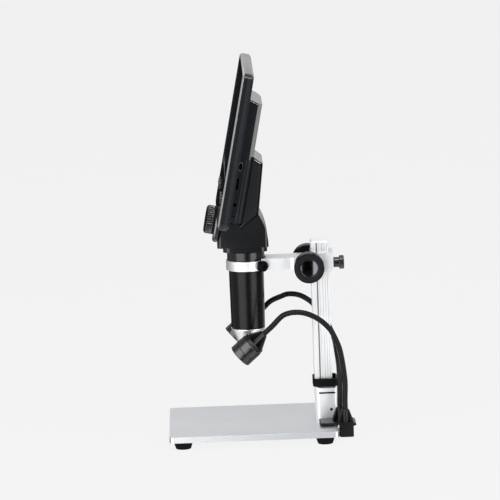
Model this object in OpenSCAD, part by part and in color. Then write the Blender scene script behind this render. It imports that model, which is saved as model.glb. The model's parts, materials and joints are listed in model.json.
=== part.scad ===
// Digital microscope with a large tilted screen. A base plate carries a rack post. An arm
// with a ring clamp slides on the post and holds the head: lens barrel, skirt and screen
// housing. Two gooseneck lamps rise from one spring clip on the rear edge of the plate.
// +X is the side of the lamp clip, -Y is the side that the screen faces, +Z is up.

/* [Base plate] */
// Width of the base plate, side to side
plate_w = 140; // [120:1:180]
// Depth of the base plate, front to back
plate_d = 168; // [160:1:190]
// Thickness of the base plate
plate_t = 6; // [4:0.5:9]
// Corner radius of the base plate
plate_r = 4; // [2:0.5:10]
// Distance from the lens axis back to the rear edge of the plate
plate_rear = 85.5; // [85:0.5:88]
// Height of a rubber foot
foot_h = 8; // [7.5:0.5:12]
// Diameter of a rubber foot at the plate
foot_top_d = 20; // [16:0.5:24]
// Diameter of a rubber foot at the table
foot_bottom_d = 15; // [12:0.5:16]
// Distance from the edges of the plate to the middle of a foot
foot_inset = 13.5; // [13:0.5:20]

/* [Post] */
// Width of the post
post_w = 22; // [20:0.5:24]
// Depth of the post
post_d = 17.4; // [16:0.2:19]
// Distance from the lens axis back to the front face of the post
post_front = 64.8; // [64:0.2:68]
// Height of the post above the plate
post_h = 181.5; // [175:0.5:200]
// Height of the socket block round the foot of the post
socket_h = 33; // [26:0.5:36]
// Wall of the socket block beside the post
socket_wall = 5; // [4:0.5:7]
// Height of the cable collar above the plate
collar_lift = 34; // [34:0.5:40]
// Height of the cable collar
collar_h = 8; // [6:0.5:10]

/* [Rack and pinion] */
// Module of the rack and pinion teeth
gear_module = 0.8; // [0.7:0.05:0.85]
// Number of teeth on the pinion
pinion_teeth = 15; // [14:1:16]
// Backlash between rack and pinion
backlash = 0.2; // [0.1:0.05:0.3]
// Width of the rack
rack_w = 8; // [6:0.5:9]
// Diameter of the focus shaft
shaft_d = 4; // [3:0.5:4.5]
// Distance from the top of the post down to the focus shaft
axis_drop = 23.5; // [21:0.5:28]

/* [Arm] */
// Width of the arm
arm_w = 26; // [22:1:30]
// Height of the arm
arm_h = 11.4; // [10.5:0.1:14]
// Height of the ring clamp
ring_h = 9.6; // [8:0.2:10]
// Wall of the ring clamp
ring_wall = 2.4; // [2:0.2:4]
// Width of the sleeve round the post
sleeve_w = 32; // [31:0.5:34]
// Wall of the sleeve behind the post
sleeve_wall = 4.6; // [4:0.1:6]
// Diameter of a coarse focus knob
knob_d = 30; // [26:0.5:32]
// Length of a coarse focus knob
knob_l = 15; // [12:0.5:16]
// Running clearance of the post in the sleeve
slide_gap = 0.15; // [0.1:0.05:0.3]

/* [Head] */
// Diameter of the lens barrel in the ring clamp
barrel_d = 35; // [33:0.5:36]
// Diameter of the lens barrel at its lower end
barrel_end_d = 33.8; // [32:0.2:35]
// Length of the lens barrel below the ring clamp
barrel_drop = 59.5; // [50:0.5:62]
// Diameter of the glossy neck above the ring clamp
neck_d = 37.4; // [36:0.2:39]
// Height of the neck
neck_h = 9.9; // [8:0.1:14]
// Length of the silver nose cone
nose_h = 16; // [12:0.5:18]
// Width of the skirt under the screen
skirt_w = 66; // [60:1:72]
// Depth of the skirt at its bottom edge
skirt_d = 51; // [48:0.5:54]
// Height of the plinth under the skirt
plinth_h = 6.8; // [5:0.2:9]
// Thickness of a plastic shell wall
shell = 2; // [1.6:0.1:2.6]

/* [Screen] */
// Width of the screen housing
screen_w = 187; // [180:1:210]
// Height of the screen housing along its front
screen_h = 156; // [150:1:170]
// Lean of the screen back from upright
screen_tilt = 11.4; // [8:0.2:15]
// Height of the screen's lower edge above the skirt's bottom edge
screen_lift = 28; // [27:0.5:34]
// Corner radius of the screen housing
screen_r = 8; // [4:0.5:12]
// Thickness of the front frame
frame_t = 5.5; // [5:0.1:7]
// Thickness of the flat rear cover behind the frame
cover_t = 5.7; // [5:0.1:7]
// Width of the upper hump on the rear cover
hump_w = 88; // [80:1:100]
// Height of the upper hump's shoulder above the lower edge of the screen
hump_top = 127; // [115:0.5:132]
// Depth of the upper hump behind the rear cover
hump_t = 14.6; // [12:0.2:18]
// Height of the lower hump's shoulder above the lower edge of the screen
tower_top = 69; // [60:0.5:76]
// Width of the visible picture
picture_w = 155; // [150:1:160]
// Height of the visible picture
picture_h = 87; // [84:1:92]
// Height of the picture's lower edge above the lower edge of the screen
picture_lift = 54; // [50:0.5:56]

/* [Controls] */
// Diameter of the front focus wheel
wheel_d = 28.6; // [24:0.2:30]
// Length of the front focus wheel
wheel_l = 11; // [8:0.5:14]
// Number of ribs round the front focus wheel
wheel_ribs = 36; // [24:2:48]
// Width of a button
button_w = 11; // [8:0.5:13]
// Height of a button
button_h = 6; // [4:0.5:8]
// Spacing of the buttons
button_pitch = 18; // [14:0.5:20]
// Travel of a button
button_travel = 0.8; // [0.4:0.1:1]

/* [Lamps] */
// Diameter of a lamp head
lamp_d = 24.4; // [20:0.2:25]
// Length of a lamp head
lamp_l = 21.3; // [18:0.1:24]
// Angle of a lamp beam below level
lamp_dip = 42; // [38:1:48]
// Inward turn of a lamp beam
lamp_turn = 5; // [0:1:8]
// Diameter of a gooseneck
neck_tube_d = 5.6; // [5:0.2:7]
// Length of the finned boots on the goosenecks
boot_l = 12.8; // [10:0.2:15]
// Width of the lamp clip
clip_w = 24; // [23:0.5:28]
// Reach of the lamp clip's jaws over the plate
jaw_reach = 17.9; // [12:0.1:20]

/* [Hidden] */

$fn = 64;
// Air between pieces that are seated on each other
seat = 0.05;
// Cutting tools run this far past the faces that they cut
cut = 1;

// Levels of the stand
plate_top = foot_h + plate_t;
plate_front = plate_rear - plate_d;
post_top = plate_top + post_h;
post_rear = post_front + post_d;
post_mid = post_front + post_d / 2;

// The arm and its pinion
pitch_r = gear_module * pinion_teeth / 2;
tooth_pitch = PI * gear_module;
axis_z = post_top - axis_drop;
axis_y = post_front - shaft_d / 2 - 0.6;
pitch_line = axis_y + pitch_r;
rack_back = pitch_line + 3.4;
arm_bottom = axis_z - 3.2;
arm_top = arm_bottom + arm_h;
ring_top = arm_bottom + ring_h;
ring_d = barrel_d + 2 * ring_wall + 0.2;
sleeve_bottom = axis_z - 7;
sleeve_top = axis_z + 12.1;
sleeve_rear = post_rear + sleeve_wall;
sleeve_front = axis_y - 12;
knob_gap = 2.5;
knob_x = sleeve_w / 2 + knob_gap;
bush_l = (sleeve_w - post_w) / 2 - 0.4;

// The head stands on the ring clamp
neck_bottom = ring_top + 0.1;
plinth_z = neck_bottom + neck_h;
skirt_z = plinth_z + plinth_h;
barrel_end = arm_bottom - barrel_drop;
skirt_back = 22.7;
skirt_front = skirt_back - skirt_d;
skirt_round = 65;
skirt_lean = 14.6;
knee_y = -4.6;
knee_z = skirt_z + 18.5;
seam_slope = 38.5;
tower_t = 10;
tower_rear_z = skirt_z + 32.8;
tower_rear_y = skirt_back - skirt_round + sqrt(pow(skirt_round, 2) - pow(tower_rear_z - skirt_z, 2));

// The screen's own frame starts at the lower edge of its front face
screen_y = skirt_front;
screen_z = skirt_z + screen_lift;
wheel_u = -4.4;
bulge_d = 43;
bulge_t = 4.6;
hump_v = frame_t + cover_t;
hump_back = hump_v + hump_t;
button_u = 26;
jack_u = 59;
slot_u = 41.5;

// Lamp clip and goosenecks
clip_x = 33.5;
hinge_y = plate_rear + 10.5;
hinge_z = plate_top - 1.8;
hub_rear = plate_rear + 18.2;
hub_z = plate_top - 0.4;
clip_left = clip_x - clip_w / 2;
clip_low = 2.6;
jaw_top = plate_top + 3.4;
cheek_t = 2.4;
cheek_rear = plate_rear + 15.5;
knuckle_d = 7;
boot_base_r = 8.8;
boot_tip_r = 4;
clip_boot_h = 14;
base_right = [39, plate_rear + 7.8];
base_left = [28, plate_rear + 2.9];
boot_z = hub_z + 2.2;
lamp_front_right = [31.5, -9.9, plate_top + 71.6];
lamp_front_left = [-31.5, -14.9, plate_top + 79.3];

// The origin lies under the middle of the whole object
front_reach = plate_front;
rear_reach = hub_rear;
shift_y = -(front_reach + rear_reach) / 2;

// ---------------------------------------------------------------- shared shapes

// Rectangle with round corners, round its own middle
module rounded_rect(w, h, r) {
    square([w - 2 * r, h], center = true);
    square([w, h - 2 * r], center = true);
    for (x = [-1, 1], y = [-1, 1])
        translate([x * (w / 2 - r), y * (h / 2 - r)]) circle(r);
}

// Profile drawn in Y and Z, extruded across the middle plane
module across(w) {
    rotate([90, 0, 90]) translate([0, 0, -w / 2]) linear_extrude(w) children();
}

// Rod along X between two places
module rod_x(d, from, to) {
    translate([from, 0, 0]) rotate([0, 90, 0]) cylinder(d = d, h = to - from);
}

// Screen frame: X across, Y into the housing, Z up along the front face
module on_screen() {
    translate([0, screen_y, screen_z]) rotate([-screen_tilt, 0, 0]) children();
}

// Front view drawn in X and Z, extruded from one depth to another
module face_block(from, to) {
    translate([0, to, 0]) rotate([90, 0, 0]) linear_extrude(to - from) children();
}

// Place in the side view, as [y, z], of a height and a depth on the screen
function side_point(u, v) = [
    screen_y + u * sin(screen_tilt) + v * cos(screen_tilt),
    screen_z + u * cos(screen_tilt) - v * sin(screen_tilt)
];

// The middle of the whole housing's front
module screen_outline(inset = 0) {
    translate([0, screen_h / 2])
        rounded_rect(screen_w - 2 * inset, screen_h - 2 * inset, screen_r - inset / 2);
}

module at_picture() {
    translate([0, picture_lift + picture_h / 2]) children();
}

// Round grip with ribs along its length, from z = 0 up
module ribbed_grip(d, h, ribs, depth) {
    difference() {
        cylinder(d = d, h = h);
        for (i = [0 : ribs - 1])
            rotate([0, 0, i * 360 / ribs]) translate([d / 2 + depth * 0.3, 0, -cut])
                cylinder(d = depth * 2.6, h = h + 2 * cut, $fn = 16);
    }
}

// Screw with a round head and a hexagon socket, head up, thread down from z = 0
module cap_screw(d, l, head_d, head_h) {
    difference() {
        union() {
            translate([0, 0, -l]) cylinder(d = d, h = l);
            cylinder(d = head_d, h = head_h);
        }
        translate([0, 0, head_h * 0.4]) cylinder(d = head_d * 0.5, h = head_h, $fn = 6);
    }
}

// ---------------------------------------------------------------- base and post

function foot_places() = [
    for (x = [-1, 1], y = [plate_front + foot_inset, plate_rear - foot_inset])
        [x * (plate_w / 2 - foot_inset), y]
];

module base_plate() {
    color("silver") difference() {
        translate([0, plate_rear - plate_d / 2, foot_h])
            linear_extrude(plate_t) rounded_rect(plate_w, plate_d, plate_r);
        for (p = foot_places())
            translate([p[0], p[1], foot_h - cut]) cylinder(d = 3.4, h = 5);
        for (y = [-5, 5]) translate([0, post_mid + y, foot_h - cut]) {
            cylinder(d = 4.4, h = plate_t + 2 * cut);
            cylinder(d = 8, h = 3 + cut);
        }
    }
}

module rubber_feet() {
    color("black") for (p = foot_places()) translate([p[0], p[1], 0]) difference() {
        cylinder(d1 = foot_bottom_d, d2 = foot_top_d, h = foot_h);
        translate([0, 0, -cut]) cylinder(d = 7, h = foot_h - 2 + cut);
        cylinder(d = 3.4, h = foot_h + cut);
    }
}

module foot_screws() {
    color("dimgray") for (p = foot_places())
        translate([p[0], p[1], foot_h - 2 - seat]) rotate([180, 0, 0]) cap_screw(3, 5, 5.6, 2);
}

cap_t = 1.6;
rail_groove_y = post_front + 4.9;
channel_w = rack_w + 0.4;

module post_profile() {
    difference() {
        translate([-post_w / 2, post_front]) square([post_w, post_d]);
        translate([-channel_w / 2, post_front - cut])
            square([channel_w, rack_back - post_front + cut + seat]);
        for (s = [-1, 1]) translate([s * post_w / 2, rail_groove_y + 0.7])
            square([4, 1.4], center = true);
        for (s = [-1, 1], y = [2.8, 5.9, 8.4, 10.8]) translate([s * post_w / 2, rail_groove_y + y])
            square([0.6, 0.5], center = true);
        translate([0, post_rear - 3.2]) circle(d = 3.3);
    }
}

module rack_post() {
    color("silver") difference() {
        translate([0, 0, plate_top]) linear_extrude(post_h - cap_t) post_profile();
        for (z = rack_screw_levels()) translate([0, rack_back - cut, z])
            rotate([-90, 0, 0]) cylinder(d = 2.5, h = 6 + cut);
    }
}

// End cap of the post, with a plug that holds it in the round hole behind the rack
module post_cap() {
    color("silver") {
        translate([0, post_mid, post_top - cap_t]) linear_extrude(cap_t - 0.4)
            square([post_w, post_d], center = true);
        translate([0, post_mid, post_top - 0.4]) linear_extrude(0.4)
            square([post_w - 0.8, post_d - 0.8], center = true);
        translate([0, post_rear - 3.2, post_top - cap_t - 4]) cylinder(d = 3.2, h = 4.5);
    }
}

rack_top = post_top - cap_t - 3.6;
rack_low_teeth = floor((axis_z - plate_top - socket_h - collar_h - 10) / tooth_pitch);
rack_high_teeth = floor((rack_top - axis_z) / tooth_pitch) - 1;
rack_bottom = axis_z - (rack_low_teeth + 0.5) * tooth_pitch;
function rack_screw_levels() = [rack_bottom - 2.6, rack_top + 0.9];

// The teeth face forward and a gap lies level with the pinion
module rack_bar() {
    half_tooth = (tooth_pitch / 2 - backlash) / 2;
    flank = tan(20);
    tip_h = 0.85 * gear_module;
    tip = half_tooth - tip_h * flank;
    root = half_tooth + 1.2 * gear_module * flank;
    root_y = pitch_line + 1.2 * gear_module;
    color("gainsboro") difference() {
        across(rack_w) union() {
            translate([root_y, rack_bottom - 5])
                square([rack_back - root_y, rack_top - rack_bottom + 8]);
            for (i = [-rack_low_teeth : rack_high_teeth]) {
                z = axis_z + (i + 0.5) * tooth_pitch;
                polygon([[root_y + 0.1, z - root], [root_y + 0.1, z + root],
                    [pitch_line - tip_h, z + tip], [pitch_line - tip_h, z - tip]]);
            }
        }
        for (z = rack_screw_levels()) translate([0, root_y - cut, z])
            rotate([-90, 0, 0]) cylinder(d = 2.8, h = 8);
    }
}

module rack_screws() {
    head_y = pitch_line + 1.2 * gear_module - seat;
    color("dimgray") for (z = rack_screw_levels())
        translate([0, head_y, z]) rotate([90, 0, 0]) cap_screw(2.4, 6, 4, 1.4);
}

socket_screw_d = 3;

module post_socket() {
    front = post_front + 2.8;
    depth = post_rear + 3.2 - front;
    width = post_w + 2 * socket_wall;
    color("silver") difference() {
        translate([0, front + depth / 2, plate_top])
            linear_extrude(socket_h) rounded_rect(width, depth, 1.2);
        translate([-post_w / 2 - seat, front - cut, plate_top - cut])
            cube([post_w + 2 * seat, post_rear - front + cut + seat, socket_h + 2 * cut]);
        for (s = [-1, 1]) translate([s * width / 2, front + depth / 2, plate_top + socket_h - 5])
            cube([3.4, depth - 1.4, 0.9], center = true);
        translate([0, post_rear - 1.8, plate_top + 11]) rod_x(socket_screw_d, 0, width);
    }
}

module socket_screw() {
    color("silver") translate([0, post_rear - 1.8, plate_top + 11]) difference() {
        rod_x(socket_screw_d - 0.1, post_w / 2 + seat, post_w / 2 + socket_wall - 0.3);
        translate([post_w / 2 + socket_wall - 1.8, 0, 0])
            rotate([0, 90, 0]) cylinder(d = 1.6, h = 3, $fn = 6);
    }
}

module post_bolts() {
    color("dimgray") for (y = [-5, 5]) translate([0, post_mid + y, foot_h + 3 - seat])
        rotate([180, 0, 0]) cap_screw(4, plate_t - 3 - seat, 7.4, 2.8);
}

// Round-cornered band round the post, just above the socket
module cable_collar() {
    depth = 24.4;
    mid = post_rear + 5.1 - depth / 2;
    width = post_w + 8;
    color("#181818") translate([0, 0, plate_top + collar_lift]) difference() {
        translate([0, mid, 0]) linear_extrude(collar_h) rounded_rect(width, depth, 6);
        translate([-post_w / 2 - 0.1, post_front - 0.1, -cut])
            cube([post_w + 0.2, post_d + 0.2, collar_h + 2 * cut]);
        translate([0, mid, 2.2]) linear_extrude(collar_h)
            rounded_rect(width - 3.2, depth - 3.2, 4.6);
    }
    color("#181818") translate([0, post_mid, plate_top + collar_lift + collar_h / 2])
        difference() {
            cube([width - 3.4, 10, collar_h], center = true);
            cube([post_w + 0.2, 11, collar_h + cut], center = true);
        }
}

// ---------------------------------------------------------------- arm and coarse focus

// Plan of the arm: a bar that flares into the block in front of the post
module arm_plan() {
    flare = 6.5;
    start = barrel_d / 2 + ring_wall;
    difference() {
        union() {
            translate([-arm_w / 2, 0]) square([arm_w, sleeve_front + 2]);
            translate([-sleeve_w / 2, sleeve_front]) square([sleeve_w, post_front - sleeve_front]);
            translate([-arm_w / 2 - flare, sleeve_front - flare]) square([arm_w + 2 * flare, flare]);
        }
        for (s = [-1, 1]) translate([s * (arm_w / 2 + flare), sleeve_front - flare])
            circle(r = flare);
        for (s = [-1, 1]) translate([s * (sleeve_w / 2 + flare), sleeve_front - flare])
            square([2 * flare, 2 * flare + 2], center = true);
        circle(r = start - 0.1);
    }
}

module slide_arm() {
    color("silver") difference() {
        union() {
            // ring clamp
            translate([0, 0, arm_bottom]) cylinder(d = ring_d, h = ring_h);
            translate([0, 0, arm_bottom]) linear_extrude(arm_h) arm_plan();
            // sleeve and pinion housing
            translate([-sleeve_w / 2, post_front - 0.5, sleeve_bottom])
                cube([sleeve_w, sleeve_rear - post_front + 0.5, sleeve_top - sleeve_bottom]);
            translate([0, axis_y, axis_z]) rod_x(18, -sleeve_w / 2, sleeve_w / 2);
            clamp_frame() translate([0, 0, ring_d / 2 - 2]) cylinder(d = 8, h = 2.6);
        }
        // the barrel turns in the ring, its neck stands on the ring
        translate([0, 0, arm_bottom - cut]) cylinder(d = barrel_d + 0.1, h = arm_h + 2 * cut);
        translate([0, 0, ring_top]) cylinder(d = neck_d + 1.2, h = arm_h);
        // the post slides in the sleeve
        translate([-post_w / 2 - slide_gap, post_front - slide_gap, sleeve_bottom - 4])
            cube([post_w + 2 * slide_gap, post_d + 2 * slide_gap, sleeve_top - sleeve_bottom + 8]);
        // room for the pinion, seats for the bushes
        translate([0, axis_y, axis_z]) {
            rod_x(2 * pitch_r + 2 * gear_module + 1.4, -rack_w / 2 + 0.2, rack_w / 2 - 0.2);
            rod_x(shaft_d + 1, -sleeve_w, sleeve_w);
            for (s = [-1, 1]) translate([s * sleeve_w / 2, 0, 0]) rod_x(shaft_d + 3.5, -bush_l, bush_l);
        }
        translate([0, post_rear - cut, axis_z]) rotate([-90, 0, 0]) cylinder(d = 4.2, h = 20);
        clamp_frame() cylinder(d = 3.2, h = ring_d);
        clamp_frame() translate([0, 0, ring_d / 2 + 0.6]) cylinder(d = clamp_grip_d + 1, h = 12);
    }
}

module shaft_bushes() {
    color("goldenrod") for (s = [-1, 1]) translate([0, axis_y, axis_z]) difference() {
        translate([s * (sleeve_w - bush_l) / 2, 0, 0]) rod_x(shaft_d + 3.4, -bush_l / 2, bush_l / 2);
        rod_x(shaft_d + 0.1, -sleeve_w, sleeve_w);
    }
}

// Involute flank, as polar steps from the base circle out
function involute(base, t) = [
    base * (cos(t) + t * PI / 180 * sin(t)), base * (sin(t) - t * PI / 180 * cos(t))
];
function turned(p, a) = [p[0] * cos(a) - p[1] * sin(a), p[0] * sin(a) + p[1] * cos(a)];

module pinion_profile() {
    base = pitch_r * cos(20);
    outer = pitch_r + gear_module;
    root = pitch_r - 1.2 * gear_module;
    last = tan(acos(base / outer)) * 180 / PI;
    lead = tan(20) * 180 / PI - 20;
    half = 90 / pinion_teeth - (backlash / 2) / pitch_r * 180 / PI;
    flank = [for (i = [0 : 4]) turned(involute(base, last * i / 4), -half - lead)];
    circle(r = root);
    for (i = [0 : pinion_teeth - 1]) rotate([0, 0, i * 360 / pinion_teeth])
        polygon(concat([[root * 0.9, -1.1 * sin(half) * root]], flank,
            [for (k = [4 : -1 : 0]) [flank[k][0], -flank[k][1]]],
            [[root * 0.9, 1.1 * sin(half) * root]]));
}

module pinion_shaft() {
    end = knob_x + knob_l - 6.5;
    color("gainsboro") translate([0, axis_y, axis_z]) {
        rod_x(shaft_d, -end, end);
        rotate([0, 90, 0]) rotate([0, 0, 90]) translate([0, 0, -rack_w / 2 + 0.7])
            linear_extrude(rack_w - 1.4) pinion_profile();
    }
}

// A dished knob: a flat ring face round a deep bowl
module focus_knob(side) {
    dish_r = 0.28 * knob_d;
    dish_h = 5.5;
    bowl_r = (pow(dish_r, 2) + pow(dish_h, 2)) / (2 * dish_h);
    color("#1c1c1c") translate([side * knob_x, axis_y, axis_z]) rotate([0, side * 90, 0])
        difference() {
            union() {
                cylinder(d1 = knob_d - 1.6, d2 = knob_d, h = 0.8);
                translate([0, 0, 0.8]) ribbed_grip(knob_d, knob_l - 1.8, 48, 0.5);
                translate([0, 0, knob_l - 1]) cylinder(d1 = knob_d - 0.6, d2 = knob_d - 2.6, h = 1);
            }
            translate([0, 0, knob_l - dish_h + bowl_r]) sphere(r = bowl_r);
            translate([0, 0, -cut]) cylinder(d = shaft_d + 0.1, h = knob_l - 6.5 + cut + seat);
        }
}

// Knurled thumbscrew behind the post
module tension_screw() {
    color("#1c1c1c") translate([0, sleeve_rear + 0.3, axis_z]) rotate([-90, 0, 0]) {
        ribbed_grip(10.2, 6, 24, 0.4);
        translate([0, 0, 6]) difference() {
            ribbed_grip(13.8, 4.8, 30, 0.4);
            translate([0, 0, 3.6]) cylinder(d = 8, h = 2);
        }
        translate([0, 0, -sleeve_wall + 1]) cylinder(d = 4, h = sleeve_wall - 1);
    }
}

module tension_pad() {
    color("goldenrod") translate([0, post_rear + slide_gap, axis_z])
        rotate([-90, 0, 0]) cylinder(d = 4, h = 1.1);
}

clamp_grip_d = 10.4;
// The ring's thumbscrew stands out square from the ring, between the side and the rear
module clamp_frame() {
    translate([0, 0, arm_bottom + ring_h / 2]) rotate([0, 0, 42]) rotate([0, 90, 0]) children();
}

module clamp_screw() {
    color("#1c1c1c") clamp_frame() {
        translate([0, 0, ring_d / 2 + 1]) difference() {
            ribbed_grip(clamp_grip_d, 6.4, 24, 0.4);
            translate([0, 0, 4.4]) cylinder(d = 4, h = 3);
        }
        translate([0, 0, barrel_d / 2 + 0.3]) cylinder(d = 3.1, h = 4.4);
    }
}

// ---------------------------------------------------------------- lens barrel

module lens_barrel() {
    bore = barrel_d / 2 - 2.6;
    end_r = barrel_end_d / 2;
    color("#161616") rotate_extrude() polygon([
        [bore, barrel_end], [end_r - 0.4, barrel_end], [end_r, barrel_end + 0.6],
        [barrel_d / 2, arm_bottom - 2], [barrel_d / 2, neck_bottom], [neck_d / 2 - 0.5, neck_bottom],
        [neck_d / 2, neck_bottom + 0.5], [neck_d / 2, plinth_z - 1.2], [neck_d / 2 - 0.6, plinth_z - seat],
        [bore + 2, plinth_z - seat], [bore + 2, plinth_z + 4], [bore, plinth_z + 4]
    ]);
}

module nose_cone() {
    r = barrel_end_d / 2 + 0.3;
    tip_r = 10.6;
    z = barrel_end - seat;
    color("gainsboro") rotate_extrude() polygon([
        [barrel_d / 2 - 2.7, z + 5], [barrel_d / 2 - 4.4, z + 5], [barrel_d / 2 - 4.4, z],
        [tip_r - 1.6, z - nose_h + 3.4], [tip_r - 1.6, z - nose_h + 1.4], [tip_r - 1.2, z - nose_h],
        [tip_r - 0.3, z - nose_h], [tip_r + 0.2, z - nose_h + 0.6], [r, z - 0.6], [r, z],
        [barrel_d / 2 - 2.7, z]
    ]);
}

module nose_window() {
    color("lightblue", 0.5) translate([0, 0, barrel_end - nose_h + 1.6])
        cylinder(d = 17.9, h = 1.2);
}

module led_board() {
    z = barrel_end - nose_h + 3.6;
    color("white") difference() {
        translate([0, 0, z]) cylinder(d = 17.8, h = 1.2);
        translate([0, 0, z - cut]) cylinder(d = 9, h = 4);
    }
    color("lightyellow") for (i = [0 : 7]) rotate([0, 0, i * 45])
        translate([6.9, 0, z - 0.35]) cube([1.8, 1.8, 0.8], center = true);
}

module objective_lens() {
    z = barrel_end - nose_h + 5;
    color("lightblue", 0.6) translate([0, 0, z]) {
        cylinder(d = 8.6, h = 2.4);
        translate([0, 0, 2.4]) cylinder(d1 = 8.6, d2 = 6.6, h = 0.6);
    }
    color("#202020") translate([0, 0, z - 0.1]) difference() {
        cylinder(d = 18.6, h = 3.2);
        translate([0, 0, -cut]) cylinder(d = 8.7, h = 6);
    }
}

cell_r = barrel_d / 2 - 2.7;
cell_travel = 8;
cell_z = barrel_end + 26;

module lens_cell() {
    color("#303030") difference() {
        translate([0, 0, cell_z]) union() {
            cylinder(r = cell_r, h = 20);
            translate([10.9, 0, 20]) cube([3, 4, screen_z - cell_z - 27]);
        }
        translate([0, 0, cell_z - cut]) cylinder(d = 10, h = 22 + cut);
        translate([0, 0, cell_z + 6]) cylinder(d = 16.1, h = 3);
    }
}

module cell_lens() {
    color("lightblue", 0.6) translate([0, 0, cell_z + 6 + seat]) cylinder(d = 16, h = 2.8);
}

module sensor_board() {
    color("darkgreen") translate([0, 0, plinth_z + 4 + seat]) difference() {
        cylinder(r = barrel_d / 2 - 1, h = 1.6);
        translate([10.4, -10, -cut]) cube([20, 20, 4]);
    }
    color("#202020") translate([0, 0, plinth_z + 3.5]) cube([9, 9, 1.2], center = true);
}

// ---------------------------------------------------------------- skirt and rear tower

// Side view of the skirt and tower with a bowed back, drawn in Y and Z
module neck_side(inset = 0) {
    rise = 40;
    intersection() {
        polygon([
            [skirt_front + inset / cos(skirt_lean), skirt_z + inset],
            [skirt_back + 1, skirt_z + inset], [skirt_back + 1, skirt_z + rise],
            [skirt_front + rise * tan(skirt_lean) + inset / cos(skirt_lean), skirt_z + rise]
        ]);
        translate([skirt_back - skirt_round, skirt_z]) circle(r = skirt_round - inset, $fn = 180);
    }
}

// Height of the seam between skirt and tower, which climbs to the rear from a knee
function seam_level(y) = knee_z + (y - knee_y) * tan(seam_slope);

// Everything below the seam, and all of the skirt in front of the knee
module below_seam(gap = 0) {
    far = skirt_back + 10;
    polygon([
        [skirt_front - 10, skirt_z - 20], [far, skirt_z - 20], [far, seam_level(far) - gap],
        [knee_y, knee_z - gap], [knee_y, screen_z + 10], [skirt_front - 10, screen_z + 10]
    ]);
}

// Everything under and behind the screen housing
module clear_of_screen(gap) {
    behind = hump_back + gap;
    far = skirt_back + 40;
    polygon([
        side_point(-gap, -20), side_point(-gap, behind), side_point(screen_h, behind),
        side_point(screen_h, behind + skirt_d), [far, skirt_z - 10], [skirt_front - 20, skirt_z - 10]
    ]);
}

module neck_skirt() {
    plinth_w = 40;
    plinth_d = 44;
    r = 4;
    color("#1e1f21") difference() {
        union() {
            intersection() {
                across(skirt_w) intersection() {
                    neck_side();
                    below_seam(seat);
                    clear_of_screen(seat);
                }
                translate([0, (skirt_front + skirt_back) / 2, skirt_z])
                    linear_extrude(60) rounded_rect(skirt_w, skirt_d + 0.01, r);
            }
            translate([0, -0.6, plinth_z]) linear_extrude(plinth_h + 0.5)
                rounded_rect(plinth_w, plinth_d, 7);
        }
        intersection() {
            across(skirt_w - 2 * shell) intersection() {
                neck_side(shell);
                below_seam(-cut);
            }
            translate([0, 0, skirt_z]) linear_extrude(60)
                square([skirt_w - 2 * shell, 2 * skirt_d], center = true);
        }
        translate([0, 0, plinth_z - cut]) cylinder(r = barrel_d / 2 - 0.5, h = plinth_h + 4);
        screen_clearance();
    }
}

// The wheel's bulge and its shaft pass in front of and through the skirt
module screen_clearance() {
    on_screen() {
        translate([0, -cut, wheel_u]) rotate([-90, 0, 0])
            cylinder(d = bulge_d + 1, h = bulge_t + cut + 0.3);
        translate([0, 0, wheel_u]) rotate([-90, 0, 0]) cylinder(d = 9, h = 30);
    }
}

// Side view of the tower behind the hump, without its rear face
module tower_side(inset = 0) {
    front = knee_y + (inset > 0 ? -cut : seat);
    low = inset > 0 ? -cut : seat;
    face = inset > 0 ? hump_back - cut : hump_back + seat;
    under = inset > 0 ? cut : -seat;
    depth = hump_back + tower_t;
    top = tower_top - inset;
    far = tower_rear_y + 20;
    polygon([
        [front, seam_level(front) + low], [far, seam_level(far) + low],
        side_point(top - 9, depth + 8), side_point(top, face), side_point(under, face),
        side_point(under, (front - screen_y - under * sin(screen_tilt)) / cos(screen_tilt))
    ]);
}

// Upright column with round rear corners; its rear face is the tower's
module tower_column(inset = 0) {
    top = side_point(tower_top, hump_back + tower_t);
    lean = atan((top[0] - tower_rear_y) / (top[1] - tower_rear_z));
    w = skirt_w - 2 * inset;
    r = 4 - inset / 2;
    translate([0, tower_rear_y, tower_rear_z]) rotate([-lean, 0, 0]) translate([0, -inset, -30])
        linear_extrude(screen_h) {
            translate([-w / 2, -60]) square([w, 60 - r]);
            translate([-w / 2 + r, -60]) square([w - 2 * r, 60]);
            for (x = [-1, 1]) translate([x * (w / 2 - r), -r]) circle(r);
        }
}

module rear_tower() {
    color("#1e1f21") difference() {
        intersection() {
            across(skirt_w + 2) tower_side();
            tower_column();
        }
        intersection() {
            across(skirt_w) tower_side(shell);
            tower_column(shell);
        }
    }
}

// ---------------------------------------------------------------- screen housing

vent_pitch = 5;

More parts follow.
